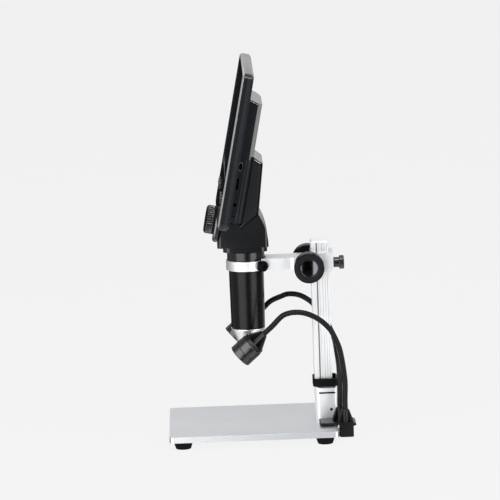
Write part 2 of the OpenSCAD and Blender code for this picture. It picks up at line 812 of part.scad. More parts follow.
module rear_cover() {
    pan = 3.4;
    color("#1e1f21") on_screen() difference() {
        union() {
            hull() {
                face_block(frame_t + seat, hump_v - 2.2) screen_outline($fn = 32);
                face_block(hump_v - 0.1, hump_v) screen_outline(2.4, $fn = 32);
            }
            hump_solid(0);
        }
        // the pan and the hump are hollow, but for the bosses of the case screws
        face_block(frame_t - cut, hump_v - shell) difference() {
            translate([0, screen_h / 2])
                square([screen_w - 2 * pan, screen_h - 2 * pan], center = true);
            for (p = case_screw_places()) translate(p) circle(d = 6.4);
        }
        hump_solid(shell);
        for (i = [-4 : 4]) face_block(hump_back - shell - cut, hump_back + cut)
            translate([i * vent_pitch, (tower_top + hump_top) / 2]) square([1.8, 26], center = true);
        face_block(hump_v - shell - cut, hump_v + 0.5) translate([-hump_w / 2 + 6, 12])
            square([hump_w - 12, hump_top - 30]);
        // ports in the side of the hump
        translate([hump_w / 2 - 4, hump_v + 3.4, jack_u]) rod_x(5.4, 0, 9);
        translate([hump_w / 2 - 4, hump_v + 1.6, slot_u - 5.6]) cube([9, 2.4, 11.2]);
        translate([hump_w / 2 - 4, hump_v + 3.6, 20.5]) rod_x(3.4, 0, 9);
        translate([hump_w / 2 - 4, hump_v + 4, 9]) rod_x(1.6, 0, 9);
        for (p = case_screw_places()) translate([p[0], frame_t, p[1]]) rotate([-90, 0, 0]) {
            cylinder(d = 3.2, h = 20);
            translate([0, 0, cover_t - 1.8]) cylinder(d = 6, h = 20);
        }
    }
}

// Upper hump with a sloping shoulder and chamfered long edges
module hump_solid(inset) {
    low = 2 + inset;
    top = hump_top - inset;
    back = hump_back - inset;
    side = hump_w / 2 - inset;
    chamfer_w = 8;
    chamfer_v = 6.6;
    start = hump_v - (inset > 0 ? 0 : 0.5);
    intersection() {
        translate([-side, 0, 0]) rotate([90, 0, 90]) linear_extrude(2 * side)
            polygon([[start, low], [back, low], [back, top - 5], [start, top]]);
        linear_extrude(top + 1) polygon([
            [-side, start], [side, start], [side, back - chamfer_v], [side - chamfer_w, back],
            [-side + chamfer_w, back], [-side, back - chamfer_v]
        ]);
    }
}

function case_screw_places() = [
    for (x = [-1, 1], y = [7, screen_h - 7]) [x * (screen_w / 2 - 8), y]
];

module case_screws() {
    color("dimgray") on_screen() for (p = case_screw_places())
        translate([p[0], hump_v - 1.8 + seat, p[1]]) rotate([-90, 0, 0]) cap_screw(2.9, 6, 5.4, 1.4);
}

function button_places() = [for (s = [-1, 1], i = [1 : 3]) s * (wheel_d / 2 + i * button_pitch)];

module display_frame() {
    wall = 2.4;
    lcd_front = 2.6;
    color("#1b1c1e") on_screen() difference() {
        union() {
            hull() {
                face_block(0, 0.1) screen_outline(1.6, $fn = 32);
                face_block(1.6, frame_t) screen_outline($fn = 32);
            }
            translate([0, 0, wheel_u]) rotate([-90, 0, 0]) {
                cylinder(d1 = bulge_d - 3, d2 = bulge_d, h = 1.5);
                translate([0, 0, 1.5]) cylinder(d = bulge_d, h = bulge_t - 1.5);
            }
        }
        face_block(-cut, 10) at_picture() square([picture_w, picture_h], center = true);
        face_block(-cut, 1.5) at_picture() rounded_rect(picture_w + 10, picture_h + 10, 3);
        face_block(lcd_front, 10) at_picture() square([picture_w + 12, picture_h + 10], center = true);
        face_block(lcd_front, 10) translate([0, screen_h / 2 - 1])
            square([screen_w - 40, screen_h - 2 * wall - 10], center = true);
        for (x = button_places()) translate([x, 0, button_u])
            face_block(-cut, 10) rounded_rect(button_w + 0.3, button_h + 0.3, 1.2);
        translate([0, -cut, wheel_u]) rotate([-90, 0, 0]) {
            cylinder(d = 6.1, h = 20);
            cylinder(d = wheel_d + 1.4, h = 1 + cut);
        }
        for (p = case_screw_places()) translate([p[0], frame_t - 4.4, p[1]])
            rotate([-90, 0, 0]) cylinder(d = 3, h = 10);
    }
}

module screen_glass() {
    color("#0a0c10") on_screen() face_block(0.3, 1.5 - seat) at_picture()
        rounded_rect(picture_w + 9.6, picture_h + 9.6, 2.8);
}

module lcd_panel() {
    color("#26282c") on_screen() face_block(2.6 + seat, frame_t) at_picture()
        square([picture_w + 11, picture_h + 9], center = true);
}

module main_board() {
    board_w = 0.64 * screen_w;
    board_h = 0.45 * screen_h;
    chip = 14;
    color("darkgreen") on_screen() face_block(frame_t + 0.4, frame_t + 2)
        translate([0, board_h]) square([board_w, board_h], center = true);
    color("#202020") on_screen() for (i = [-1 : 1])
        face_block(frame_t + 2, frame_t + 3.2) translate([i * board_w / 4, board_h])
            square(chip, center = true);
}

module battery_pack() {
    cell_t = 9;
    cell_w = 0.68 * hump_w;
    cell_h = 0.4 * hump_top;
    color("slategray") on_screen() translate([-hump_w / 2 + 11, hump_back - shell - cell_t - 0.1, 26])
        cube([cell_w, cell_t, cell_h]);
}

// Round power inlet and the card reader stand behind their holes in the hump's side
module power_jack() {
    color("#303030") on_screen() translate([hump_w / 2 - shell - seat, hump_v + 3.4, jack_u]) difference() {
        translate([-9, -3.2, -4.5]) cube([8.6, 6, 9]);
        rod_x(5.4, -7, cut);
    }
    color("silver") on_screen() translate([hump_w / 2 - shell, hump_v + 3.4, jack_u]) rod_x(1.6, -7.5, 0.6);
}

module card_slot() {
    color("silver") on_screen() translate([hump_w / 2 - shell - seat, hump_v + 1.4, slot_u]) difference() {
        translate([-14, 0, -7.4]) cube([14, 3, 14.8]);
        translate([-12, 0.6, -5.6]) cube([14, 1.6, 11.2]);
    }
}

module focus_gearbox() {
    color("#303030") on_screen() translate([0, 15, wheel_u]) difference() {
        translate([-8, 0, -8]) cube([18.5, 16, 10 - wheel_u - seat]);
        translate([0, -cut, 0]) rotate([-90, 0, 0]) cylinder(d = 6.1, h = 8 + cut);
    }
}

module focus_wheel() {
    color("#1c1c1c") on_screen() translate([0, 0.6, wheel_u]) rotate([90, 0, 0]) {
        difference() {
            union() {
                ribbed_grip(wheel_d, wheel_l - 1.6, wheel_ribs, 0.7);
                translate([0, 0, wheel_l - 1.6])
                    cylinder(d1 = wheel_d - 1.2, d2 = wheel_d - 4, h = 1.6);
            }
            translate([0, 0, wheel_l - 1]) cylinder(d = wheel_d - 9, h = 2);
        }
        translate([0, 0, -21]) cylinder(d = 6, h = 21.1);
    }
}

module push_button(index) {
    color("#303236") on_screen() translate([button_places()[index - 1], 0, button_u]) {
        face_block(-1.1, 1.9) rounded_rect(button_w, button_h, 1);
        face_block(1.9, 2.3) rounded_rect(button_w - 3, button_h - 3, 0.6);
    }
}

// ---------------------------------------------------------------- lamps

// Cross-shaped fins that taper round a sleeve, from z = 0 up
module finned_boot(base_r, tip_r, length, fins) {
    cylinder(r = tip_r - 0.5, h = length);
    for (i = [0 : fins - 1]) rotate([0, 0, i * 360 / fins]) translate([0, 0.9, 0])
        rotate([90, 0, 0]) linear_extrude(1.8)
            polygon([[0, 0], [base_r, 0], [base_r, 1.2], [tip_r, length - 0.6], [0, length - 0.6]]);
}

// The spring clip: a thin upper jaw on a hub, cheeks down both sides of the hub, and a
// finned boot for each gooseneck
module clip_top() {
    front = plate_rear - jaw_reach;
    color("#161616") difference() {
        union() {
            translate([clip_left, 0, 0]) rotate([90, 0, 90]) linear_extrude(clip_w) polygon([
                [front, plate_top + 1.2], [front, jaw_top - 1.2], [front + 1, jaw_top],
                [hub_rear - 2.4, jaw_top], [hub_rear - 0.4, jaw_top - 1.2], [hub_rear, jaw_top - 2],
                [hub_rear, hub_z + 1], [hub_rear - 2.6, hub_z], [plate_rear + 2, hub_z],
                [plate_rear + 0.4, plate_top + 1.2]
            ]);
            // cheeks round the hinge pin
            for (x = [clip_left, clip_left + clip_w - cheek_t]) translate([x, 0, 0])
                rotate([90, 0, 90]) linear_extrude(cheek_t) polygon([
                    [plate_rear + 2, clip_low + 0.8], [plate_rear + 2.8, clip_low],
                    [cheek_rear - 0.8, clip_low], [cheek_rear, clip_low + 0.8],
                    [cheek_rear, hub_z + 0.4], [plate_rear + 0.8, hub_z + 0.4], [plate_rear + 2, hub_z - 3]
                ]);
            for (p = [base_right, base_left]) translate([p[0], p[1], boot_z])
                finned_boot(boot_base_r, boot_tip_r, clip_boot_h, 6);
        }
        for (p = [base_right, base_left]) translate([p[0], p[1], boot_z + 2])
            cylinder(d = neck_tube_d + 0.2, h = clip_boot_h);
        translate([0, hinge_y, hinge_z]) {
            rod_x(3.1, clip_left + 1, clip_left + clip_w - 1);
            rod_x(knuckle_d + 0.8, clip_left + cheek_t, clip_left + clip_w - cheek_t);
        }
    }
}

// The lower jaw turns between the cheeks: a bar under the plate, a lever behind it
module clip_jaw() {
    front = plate_rear - jaw_reach + 2;
    grip = foot_h - 0.3;
    inner = cheek_t + 0.3;
    lever_w = clip_w - 2 * inner;
    color("#161616") difference() {
        union() {
            translate([clip_left + 0.2, 0, 0]) rotate([90, 0, 90]) linear_extrude(clip_w - 0.4)
                polygon([
                    [front, clip_low + 1], [front + 1, clip_low], [plate_rear + 0.2, clip_low],
                    [plate_rear + 0.2, grip], [front, grip]
                ]);
            translate([clip_left + inner, 0, 0]) rotate([90, 0, 90]) linear_extrude(lever_w) polygon([
                [plate_rear, clip_low], [cheek_rear - 1.6, clip_low], [cheek_rear - 0.6, clip_low + 1],
                [cheek_rear - 0.6, hinge_z - 4], [plate_rear + 2, hinge_z - 4], [plate_rear + 2, grip],
                [plate_rear, grip]
            ]);
            translate([clip_left + inner, 0, 0]) {
                translate([0, hinge_y, hinge_z]) rod_x(knuckle_d, 0, lever_w);
                translate([0, hinge_y - knuckle_d / 2, hinge_z - 5]) cube([lever_w, knuckle_d, 5]);
            }
        }
        translate([0, hinge_y, hinge_z]) rod_x(3.1, clip_left - cut, clip_left + clip_w + cut);
        translate([clip_x - 5, hinge_y - 5, hinge_z - 4.2]) cube([10, 10, 9]);
    }
}

module clip_pin() {
    color("silver") translate([0, hinge_y, hinge_z])
        rod_x(3, clip_left + 1.2, clip_left + clip_w - 1.2);
}

// Torsion spring, drawn as closed turns round the pin
module clip_spring() {
    color("silver") for (i = [-3 : 3]) translate([clip_x + i * 1.3, hinge_y, hinge_z])
        rotate([0, 90, 0]) rotate_extrude() translate([2.4, 0]) circle(d = 1, $fn = 20);
}

module clip_pads() {
    color("#2a2a2a") translate([clip_x, plate_rear - jaw_reach / 2 - 1, plate_top + 0.6])
        cube([clip_w - 4, jaw_reach - 5, 1.1], center = true);
}

// Lamp frame: z = 0 at the lens end, +z back along the lamp toward its gooseneck
module on_lamp(place, side) {
    translate(place) rotate([0, 0, -side * lamp_turn]) rotate([lamp_dip - 90, 0, 0]) children();
}

function lamp_point(place, side, s) = [
    place[0] + s * cos(lamp_dip) * sin(side * lamp_turn),
    place[1] + s * cos(lamp_dip) * cos(lamp_turn),
    place[2] + s * sin(lamp_dip)
];

module lamp_body(place, side) {
    split = 7.7;
    color("#161616") on_lamp(place, side) rotate_extrude() polygon([
        [lamp_d / 2 - 2, 0], [lamp_d / 2 - 0.6, 0], [lamp_d / 2, 0.6], [lamp_d / 2, split - 0.3],
        [lamp_d / 2 - 0.4, split], [lamp_d / 2, split + 0.3], [lamp_d / 2, lamp_l - 3.8],
        [lamp_d / 2 - 0.5, lamp_l - 3.4], [0, lamp_l - 3.4], [0, 5], [lamp_d / 2 - 4.4, 5],
        [lamp_d / 2 - 2, 2.6]
    ]);
}

module lamp_cap(place, side) {
    color("#161616") on_lamp(place, side) difference() {
        union() {
            translate([0, 0, lamp_l - 3.4 + seat]) cylinder(d = lamp_d - 1.2, h = 2.2);
            translate([0, 0, lamp_l - 1.2]) cylinder(d1 = lamp_d - 1.2, d2 = lamp_d - 3, h = 1.2);
            translate([0, 0, lamp_l - 0.1]) finned_boot(lamp_d / 2 - 1.6, boot_tip_r, boot_l, 6);
        }
        translate([0, 0, lamp_l + 3]) cylinder(d = neck_tube_d + 0.1, h = boot_l + 4);
    }
}

module lamp_lens(place, side) {
    color("white", 0.8) on_lamp(place, side) rotate_extrude() polygon([
        [0, 1.4], [5, 1.6], [lamp_d / 2 - 2.1, 2.5], [lamp_d / 2 - 4.5, 4.9], [0, 4.9]
    ]);
}

// Point on a smooth curve through the list p, t counts its points
function spline(p, t) = let (
        i = min(floor(t), len(p) - 2), f = t - i, b = p[i], c = p[i + 1],
        a = i > 0 ? p[i - 1] : 2 * b - c, d = i < len(p) - 2 ? p[i + 2] : 2 * c - b
    ) 0.5 * (2 * b + (c - a) * f + (2 * a - 5 * b + 4 * c - d) * f * f
        + (3 * b - a - 3 * c + d) * f * f * f);

function unit(v) = v / norm(v);

// Tube swept along a smooth curve through the points of the route
module swept_tube(route, d, rings, sides = 12) {
    side_way = [1, 0.6, 0.6];
    end = len(route) - 1;
    step = end / rings;
    points = [for (i = [0 : rings]) let (
            t = i * step, p = spline(route, t),
            way = unit(spline(route, min(t + 0.02, end)) - spline(route, max(t - 0.02, 0))),
            n = unit(cross(way, side_way)), m = cross(way, n)
        ) for (k = [0 : sides - 1]) p + d / 2 * (cos(k * 360 / sides) * n + sin(k * 360 / sides) * m)];
    ends = [[for (k = [0 : sides - 1]) k], [for (k = [sides - 1 : -1 : 0]) rings * sides + k]];
    walls = [for (i = [0 : rings - 1], k = [0 : sides - 1]) let (n = (k + 1) % sides)
        [i * sides + k, (i + 1) * sides + k, (i + 1) * sides + n, i * sides + n]];
    polyhedron(points, concat(ends, walls));
}

socket_floor = boot_z + 2.4;
route_right = [
    [base_right[0], base_right[1], socket_floor], [base_right[0], base_right[1], plate_top + 25],
    [39, 93.9, 56.3], [39, 92.6, 71.6], [39, 90.9, 83.8], [39.3, 88.8, 93.3], [39.7, 84.9, 103.2],
    [40, 80.7, 111.2], [40, 72.9, 119.6], [40, 64.3, 125.3], [39.3, 55.8, 128.6], [38.8, 48, 129.6],
    [37.5, 40.4, 128.8], [36, 33, 125.4],
    lamp_point(lamp_front_right, 1, lamp_l + boot_l + 11),
    lamp_point(lamp_front_right, 1, lamp_l + boot_l + 4),
    lamp_point(lamp_front_right, 1, lamp_l + 3.6)
];
route_left = [
    [base_left[0], base_left[1], socket_floor], [base_left[0], base_left[1], plate_top + 20],
    [26.5, 88.8, 44], [22, 89.2, 57], [14, 89, 70.7], [3, 87.9, 82], [-9, 86.8, 90.2], [-21, 83.8, 98.3],
    [-30, 79.2, 107], [-35, 73.6, 115.6], [-38, 65.3, 125.1], [-39.2, 54, 132.3], [-38.6, 42.6, 134.3],
    [-37, 34, 132.2], lamp_point(lamp_front_left, -1, lamp_l + boot_l + 18),
    lamp_point(lamp_front_left, -1, lamp_l + boot_l + 8), lamp_point(lamp_front_left, -1, lamp_l + 3.6)
];

module gooseneck(route) {
    color("#141414") swept_tube(route, neck_tube_d, 3 * (len(route) - 1));
}

// ---------------------------------------------------------------- assembly

module placed() {
    translate([0, shift_y, 0]) children();
}

placed() base_plate();
placed() rubber_feet();
placed() foot_screws();
placed() rack_post();
placed() post_cap();
placed() rack_bar();
placed() rack_screws();
placed() post_socket();
placed() socket_screw();
placed() post_bolts();
placed() cable_collar();
placed() slide_arm();
placed() shaft_bushes();
placed() pinion_shaft();
placed() focus_knob(-1);  // focus_knob_left
placed() focus_knob(1);  // focus_knob_right
placed() tension_screw();
placed() tension_pad();
placed() clamp_screw();
placed() lens_barrel();
placed() nose_cone();
placed() objective_lens();
placed() led_board();
placed() nose_window();
placed() lens_cell();
placed() cell_lens();
placed() sensor_board();
placed() focus_gearbox();
placed() neck_skirt();
placed() rear_tower();
placed() rear_cover();
placed() display_frame();
placed() screen_glass();
placed() lcd_panel();
placed() main_board();
placed() battery_pack();
placed() power_jack();
placed() card_slot();
placed() case_screws();
placed() focus_wheel();
placed() push_button(1);  // button_1
placed() push_button(2);  // button_2
placed() push_button(3);  // button_3
placed() push_button(4);  // button_4
placed() push_button(5);  // button_5
placed() push_button(6);  // button_6
placed() clip_top();
placed() clip_jaw();
placed() clip_pin();
placed() clip_spring();
placed() clip_pads();
placed() gooseneck(route_right);  // gooseneck_right
placed() lamp_body(lamp_front_right, 1);  // lamp_body_right
placed() lamp_cap(lamp_front_right, 1);  // lamp_cap_right
placed() lamp_lens(lamp_front_right, 1);  // lamp_lens_right
placed() gooseneck(route_left);  // gooseneck_left
placed() lamp_body(lamp_front_left, -1);  // lamp_body_left
placed() lamp_cap(lamp_front_left, -1);  // lamp_cap_left
placed() lamp_lens(lamp_front_left, -1);  // lamp_lens_left
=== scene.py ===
"""Looks of a digital microscope with a large leaning screen on a rack post stand.

Blender works in metres in the frame's own axes: +X is the side of the lamp clip, -Y is the
side that the screen faces, +Z is up. Lengths of pieces are written in millimetres.
"""
import json
import math

import bmesh
import bpy
from mathutils import Matrix, Vector


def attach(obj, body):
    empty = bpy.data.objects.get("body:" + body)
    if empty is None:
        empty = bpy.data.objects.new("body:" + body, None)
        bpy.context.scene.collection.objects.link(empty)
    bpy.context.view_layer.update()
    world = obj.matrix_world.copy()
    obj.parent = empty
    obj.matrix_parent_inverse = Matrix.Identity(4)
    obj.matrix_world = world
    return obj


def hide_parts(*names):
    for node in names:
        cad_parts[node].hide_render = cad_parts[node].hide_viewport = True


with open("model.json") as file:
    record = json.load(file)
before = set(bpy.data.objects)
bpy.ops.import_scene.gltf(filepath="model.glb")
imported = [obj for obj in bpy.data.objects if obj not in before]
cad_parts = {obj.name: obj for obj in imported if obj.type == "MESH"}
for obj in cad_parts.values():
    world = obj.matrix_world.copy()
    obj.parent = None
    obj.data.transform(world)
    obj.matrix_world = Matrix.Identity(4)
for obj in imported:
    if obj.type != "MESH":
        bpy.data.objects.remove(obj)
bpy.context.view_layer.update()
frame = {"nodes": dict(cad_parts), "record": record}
MM = 0.001
# millimetres in the frame's Y, all the other places being measured from the lens axis
LENS_AXIS_Y = -10.6
# lower front edge of the screen, its lean in degrees, and the middle and half sizes of its picture
SCREEN_FOOT = (0, -28.3, 223.2)
SCREEN_TILT = 11.4
PICTURE_MIDDLE = 97.5
PICTURE_HALF_W, PICTURE_HALF_H = 77.5, 43.5
# axis of the focus shaft
SHAFT_Y, SHAFT_Z = 62.2, 172.0
# degrees that the lamps look down, and inwards
LAMP_DIP = 42
LAMP_TURN = 5

BODY_OF = {n: b for b, names in frame["record"]["behaviour"]["bodies"].items() for n in names}


def spot(x, y, z):
    """A place in the frame, from millimetres measured from the lens axis and the table."""
    return Vector((x, y + LENS_AXIS_Y, z)) * MM


def screen_axes(depth=0, height=0):
    """Axes of the leaning screen, X across, Y into the housing and Z up along its front face, from
    a depth behind its lower front edge and a height above it."""
    return (Matrix.Translation(spot(*SCREEN_FOOT))
            @ Matrix.Rotation(math.radians(-SCREEN_TILT), 4, "X")
            @ Matrix.Translation(Vector((0, depth, height)) * MM))


# ---------------------------------------------------------------- camera, light and floor

def aim(obj, place, target, roll=0.0):
    """Turns an object at a place so that its -Z axis looks at the target."""
    obj.location = place
    look = (Vector(target) - Vector(place)).to_track_quat("-Z", "Y").to_matrix().to_4x4()
    obj.rotation_euler = (look @ Matrix.Rotation(roll, 4, "Z")).to_euler()


def make_camera():
    """A long lens at the side of the lamp clip, a little above the table and leaning a little."""
    azimuth = math.radians(89.3)
    elevation = math.radians(9.7)
    roll = math.radians(-2.0)
    distance = 3532.6 * MM
    target = Vector((0, -6.2, 187.4)) * MM
    sensor = 36.0
    frame_across = 500 * MM
    back = Vector((
        math.sin(azimuth) * math.cos(elevation),
        -math.cos(azimuth) * math.cos(elevation),
        math.sin(elevation)))
    data = bpy.data.cameras.new("studio_camera")
    data.sensor_width = sensor
    data.lens = sensor * distance / frame_across
    camera = bpy.data.objects.new("studio_camera", data)
    bpy.context.scene.collection.objects.link(camera)
    aim(camera, target + back * distance, target, roll)
    bpy.context.scene.camera = camera


def softbox(name, azimuth, elevation, width, height, power):
    """A rectangular lamp in metres and watts, azimuth degrees from +X towards +Y, that faces the
    middle of the object."""
    distance = 1.8
    data = bpy.data.lights.new(name, "AREA")
    data.shape = "RECTANGLE"
    data.size = width
    data.size_y = height
    data.energy = power
    light = bpy.data.objects.new(name, data)
    bpy.context.scene.collection.objects.link(light)
    a, e = math.radians(azimuth), math.radians(elevation)
    middle = Vector((0, 0, 0.19))
    away = Vector((math.cos(a) * math.cos(e), math.sin(a) * math.cos(e), math.sin(e)))
    aim(light, middle + away * distance, middle)


# ---------------------------------------------------------------- material making

def srgb(code):
    """Linear colour with alpha from a hex code such as "#1A1B1C"."""
    channels = [int(code[i:i + 2], 16) / 255 for i in (1, 3, 5)]
    linear = [c / 12.92 if c <= 0.04045 else ((c + 0.055) / 1.055) ** 2.4 for c in channels]
    return (*linear, 1.0)


def add(tree, kind, settings=None, **inputs):
    """Adds a node. Settings are its properties; an input is a number, a colour or a socket."""
    node = tree.nodes.new(kind)
    for key, value in (settings or {}).items():
        setattr(node, key, value)
    for key, value in inputs.items():
        name = key.replace("_", " ").strip()
        socket = node.inputs[int(name)] if name.isdigit() else node.inputs[name]
        if isinstance(value, bpy.types.NodeSocket):
            tree.links.new(value, socket)
        else:
            socket.default_value = value
    return node


def new_material(name):
    """An empty node material and its tree."""
    material = bpy.data.materials.new(name)
    material.use_nodes = True
    material.node_tree.nodes.clear()
    return material, material.node_tree


COLOUR = {"data_type": "RGBA"}


# ---------------------------------------------------------------- finishes

def blasted_aluminium(name, dark, light, rough):
    """Aluminium blasted with fine beads and clear anodised: an even satin grey, no direction."""
    material, tree = new_material(name)
    place = add(tree, "ShaderNodeTexCoord").outputs["Object"]
    cloud = add(tree, "ShaderNodeTexNoise", Vector=place, Scale=1 / (26 * MM), Detail=3.0)
    # bead marks are about 0.1 mm across, drawn at 0.6 mm so that they show
    beads = add(tree, "ShaderNodeTexNoise", Vector=place, Scale=1 / (0.6 * MM), Detail=2.0)
    tone = add(tree, "ShaderNodeMix", COLOUR, Factor=cloud.outputs[0], _6=srgb(dark), _7=srgb(light))
    sheen = add(tree, "ShaderNodeMapRange", Value=beads.outputs[0],
                To_Min=rough - 0.05, To_Max=rough + 0.07)
    relief = add(tree, "ShaderNodeBump", Height=beads.outputs[0], Distance=0.02 * MM, Strength=0.4)
    shader = add(tree, "ShaderNodeBsdfPrincipled", Base_Color=tone.outputs[2], Metallic=1.0,
                 Roughness=sheen.outputs[0], Normal=relief.outputs[0])
    add(tree, "ShaderNodeOutputMaterial", Surface=shader.outputs[0])
    return material


def extruded_aluminium(name, dark, light, rough):
    """Aluminium pushed through a die and clear anodised: fine die lines along its height."""
    material, tree = new_material(name)
    place = add(tree, "ShaderNodeTexCoord").outputs["Object"]
    along = add(tree, "ShaderNodeMapping", Vector=place, Scale=(1, 1, 0.03))
    # die lines are some 0.05 mm apart, drawn at 0.4 mm so that they show
    lines = add(tree, "ShaderNodeTexNoise", Vector=along.outputs[0], Scale=1 / (0.4 * MM),
                Detail=3.0, Roughness=0.6)
    cloud = add(tree, "ShaderNodeTexNoise", Vector=place, Scale=1 / (30 * MM), Detail=2.0)
    tone = add(tree, "ShaderNodeMix", COLOUR, Factor=cloud.outputs[0], _6=srgb(dark), _7=srgb(light))
    sheen = add(tree, "ShaderNodeMapRange", Value=lines.outputs[0],
                To_Min=rough - 0.05, To_Max=rough + 0.09)
    relief = add(tree, "ShaderNodeBump", Height=lines.outputs[0], Distance=0.012 * MM, Strength=0.5)
    shader = add(tree, "ShaderNodeBsdfPrincipled", Base_Color=tone.outputs[2], Metallic=1.0,
                 Roughness=sheen.outputs[0], Normal=relief.outputs[0])
    add(tree, "ShaderNodeOutputMaterial", Surface=shader.outputs[0])
    return material


def turned_metal(name, dark, light, rough):
    """Metal cut on a lathe: fine rings round its axis, and small stains of handling."""
    material, tree = new_material(name)
    place = add(tree, "ShaderNodeTexCoord").outputs["Object"]
    along = add(tree, "ShaderNodeMapping", Vector=place, Scale=(0.05, 0.05, 1))
    # the feed of a finishing cut is about 0.1 mm, drawn at 0.4 mm so that it shows
    rings = add(tree, "ShaderNodeTexNoise", Vector=along.outputs[0], Scale=1 / (0.4 * MM),
                Detail=2.0)
    stain = add(tree, "ShaderNodeTexNoise", Vector=place, Scale=1 / (6 * MM), Detail=3.0)
    tone = add(tree, "ShaderNodeMix", COLOUR, Factor=stain.outputs[0], _6=srgb(dark), _7=srgb(light))
    sheen = add(tree, "ShaderNodeMapRange", Value=rings.outputs[0],
                To_Min=rough - 0.06, To_Max=rough + 0.09)
    relief = add(tree, "ShaderNodeBump", Height=rings.outputs[0], Distance=0.01 * MM, Strength=0.4)
    shader = add(tree, "ShaderNodeBsdfPrincipled", Base_Color=tone.outputs[2], Metallic=1.0,
                 Roughness=sheen.outputs[0], Normal=relief.outputs[0])
    add(tree, "ShaderNodeOutputMaterial", Surface=shader.outputs[0])
    return material


def mirror_plating(name, dark, light, rough):
    """Metal plated over a polished face: a clean mirror with the lightest haze of wiping."""
    material, tree = new_material(name)
    place = add(tree, "ShaderNodeTexCoord").outputs["Object"]
    haze = add(tree, "ShaderNodeTexNoise", Vector=place, Scale=1 / (5 * MM), Detail=2.0)
    tone = add(tree, "ShaderNodeMix", COLOUR, Factor=haze.outputs[0], _6=srgb(dark), _7=srgb(light))
    sheen = add(tree, "ShaderNodeMapRange", Value=haze.outputs[0], To_Min=rough, To_Max=rough + 0.03)
    shader = add(tree, "ShaderNodeBsdfPrincipled", Base_Color=tone.outputs[2], Metallic=1.0,
                 Roughness=sheen.outputs[0])
    add(tree, "ShaderNodeOutputMaterial", Surface=shader.outputs[0])
    return material


def moulded_plastic(name, dark, light, rough, grain, depth, level=0.5):
    """Injection-moulded plastic with the grain of its mould, in millimetres across and deep."""
    material, tree = new_material(name)
    place = add(tree, "ShaderNodeTexCoord").outputs["Object"]
    pits = add(tree, "ShaderNodeTexNoise", Vector=place, Scale=1 / (grain * MM), Detail=3.0,
               Roughness=0.6)
    cloud = add(tree, "ShaderNodeTexNoise", Vector=place, Scale=1 / (22 * MM), Detail=2.0)
    tone = add(tree, "ShaderNodeMix", COLOUR, Factor=cloud.outputs[0], _6=srgb(dark), _7=srgb(light))
    sheen = add(tree, "ShaderNodeMapRange", Value=pits.outputs[0],
                To_Min=rough - 0.06, To_Max=rough + 0.06)
    relief = add(tree, "ShaderNodeBump", Height=pits.outputs[0], Distance=depth * MM, Strength=0.5)
    shader = add(tree, "ShaderNodeBsdfPrincipled", Base_Color=tone.outputs[2], IOR=1.5,
                 Specular_IOR_Level=level, Roughness=sheen.outputs[0], Normal=relief.outputs[0])
    add(tree, "ShaderNodeOutputMaterial", Surface=shader.outputs[0])
    return material


def moulded_rubber(name, dark, light, rough, level):
    """Soft moulded rubber: matte, with a trace of grey bloom that gathers in clouds."""
    material, tree = new_material(name)
    place = add(tree, "ShaderNodeTexCoord").outputs["Object"]
    bloom = add(tree, "ShaderNodeTexNoise", Vector=place, Scale=1 / (4 * MM), Detail=4.0,
                Roughness=0.6)
    grain = add(tree, "ShaderNodeTexNoise", Vector=place, Scale=1 / (0.5 * MM), Detail=2.0)
    tone = add(tree, "ShaderNodeMix", COLOUR, Factor=bloom.outputs[0], _6=srgb(dark), _7=srgb(light))
    sheen = add(tree, "ShaderNodeMapRange", Value=bloom.outputs[0],
                To_Min=rough - 0.05, To_Max=rough + 0.08)
    relief = add(tree, "ShaderNodeBump", Height=grain.outputs[0], Distance=0.03 * MM, Strength=0.5)
    shader = add(tree, "ShaderNodeBsdfPrincipled", Base_Color=tone.outputs[2], IOR=1.52,
                 Specular_IOR_Level=level, Roughness=sheen.outputs[0], Normal=relief.outputs[0])
    add(tree, "ShaderNodeOutputMaterial", Surface=shader.outputs[0])
    return material


def black_anodised(name, dark, light, rough, level):
    """Aluminium turned, then dyed black in its anodic layer: deep, with the cut's faint rings."""
    material, tree = new_material(name)
    place = add(tree, "ShaderNodeTexCoord").outputs["Object"]
    along = add(tree, "ShaderNodeMapping", Vector=place, Scale=(0.05, 0.05, 1))
    # the feed of the cut is about 0.15 mm, drawn at 0.5 mm so that it shows
    rings = add(tree, "ShaderNodeTexNoise", Vector=along.outputs[0], Scale=1 / (0.5 * MM),
                Detail=2.0)
    wipe = add(tree, "ShaderNodeTexNoise", Vector=place, Scale=1 / (9 * MM), Detail=3.0)
    tone = add(tree, "ShaderNodeMix", COLOUR, Factor=wipe.outputs[0], _6=srgb(dark), _7=srgb(light))
    sheen = add(tree, "ShaderNodeMapRange", Value=wipe.outputs[0],
                To_Min=rough - 0.04, To_Max=rough + 0.05)
    relief = add(tree, "ShaderNodeBump", Height=rings.outputs[0], Distance=0.012 * MM, Strength=0.4)
    shader = add(tree, "ShaderNodeBsdfPrincipled", Base_Color=tone.outputs[2], IOR=1.5,
                 Specular_IOR_Level=level, Roughness=sheen.outputs[0], Normal=relief.outputs[0])
    add(tree, "ShaderNodeOutputMaterial", Surface=shader.outputs[0])
    return material


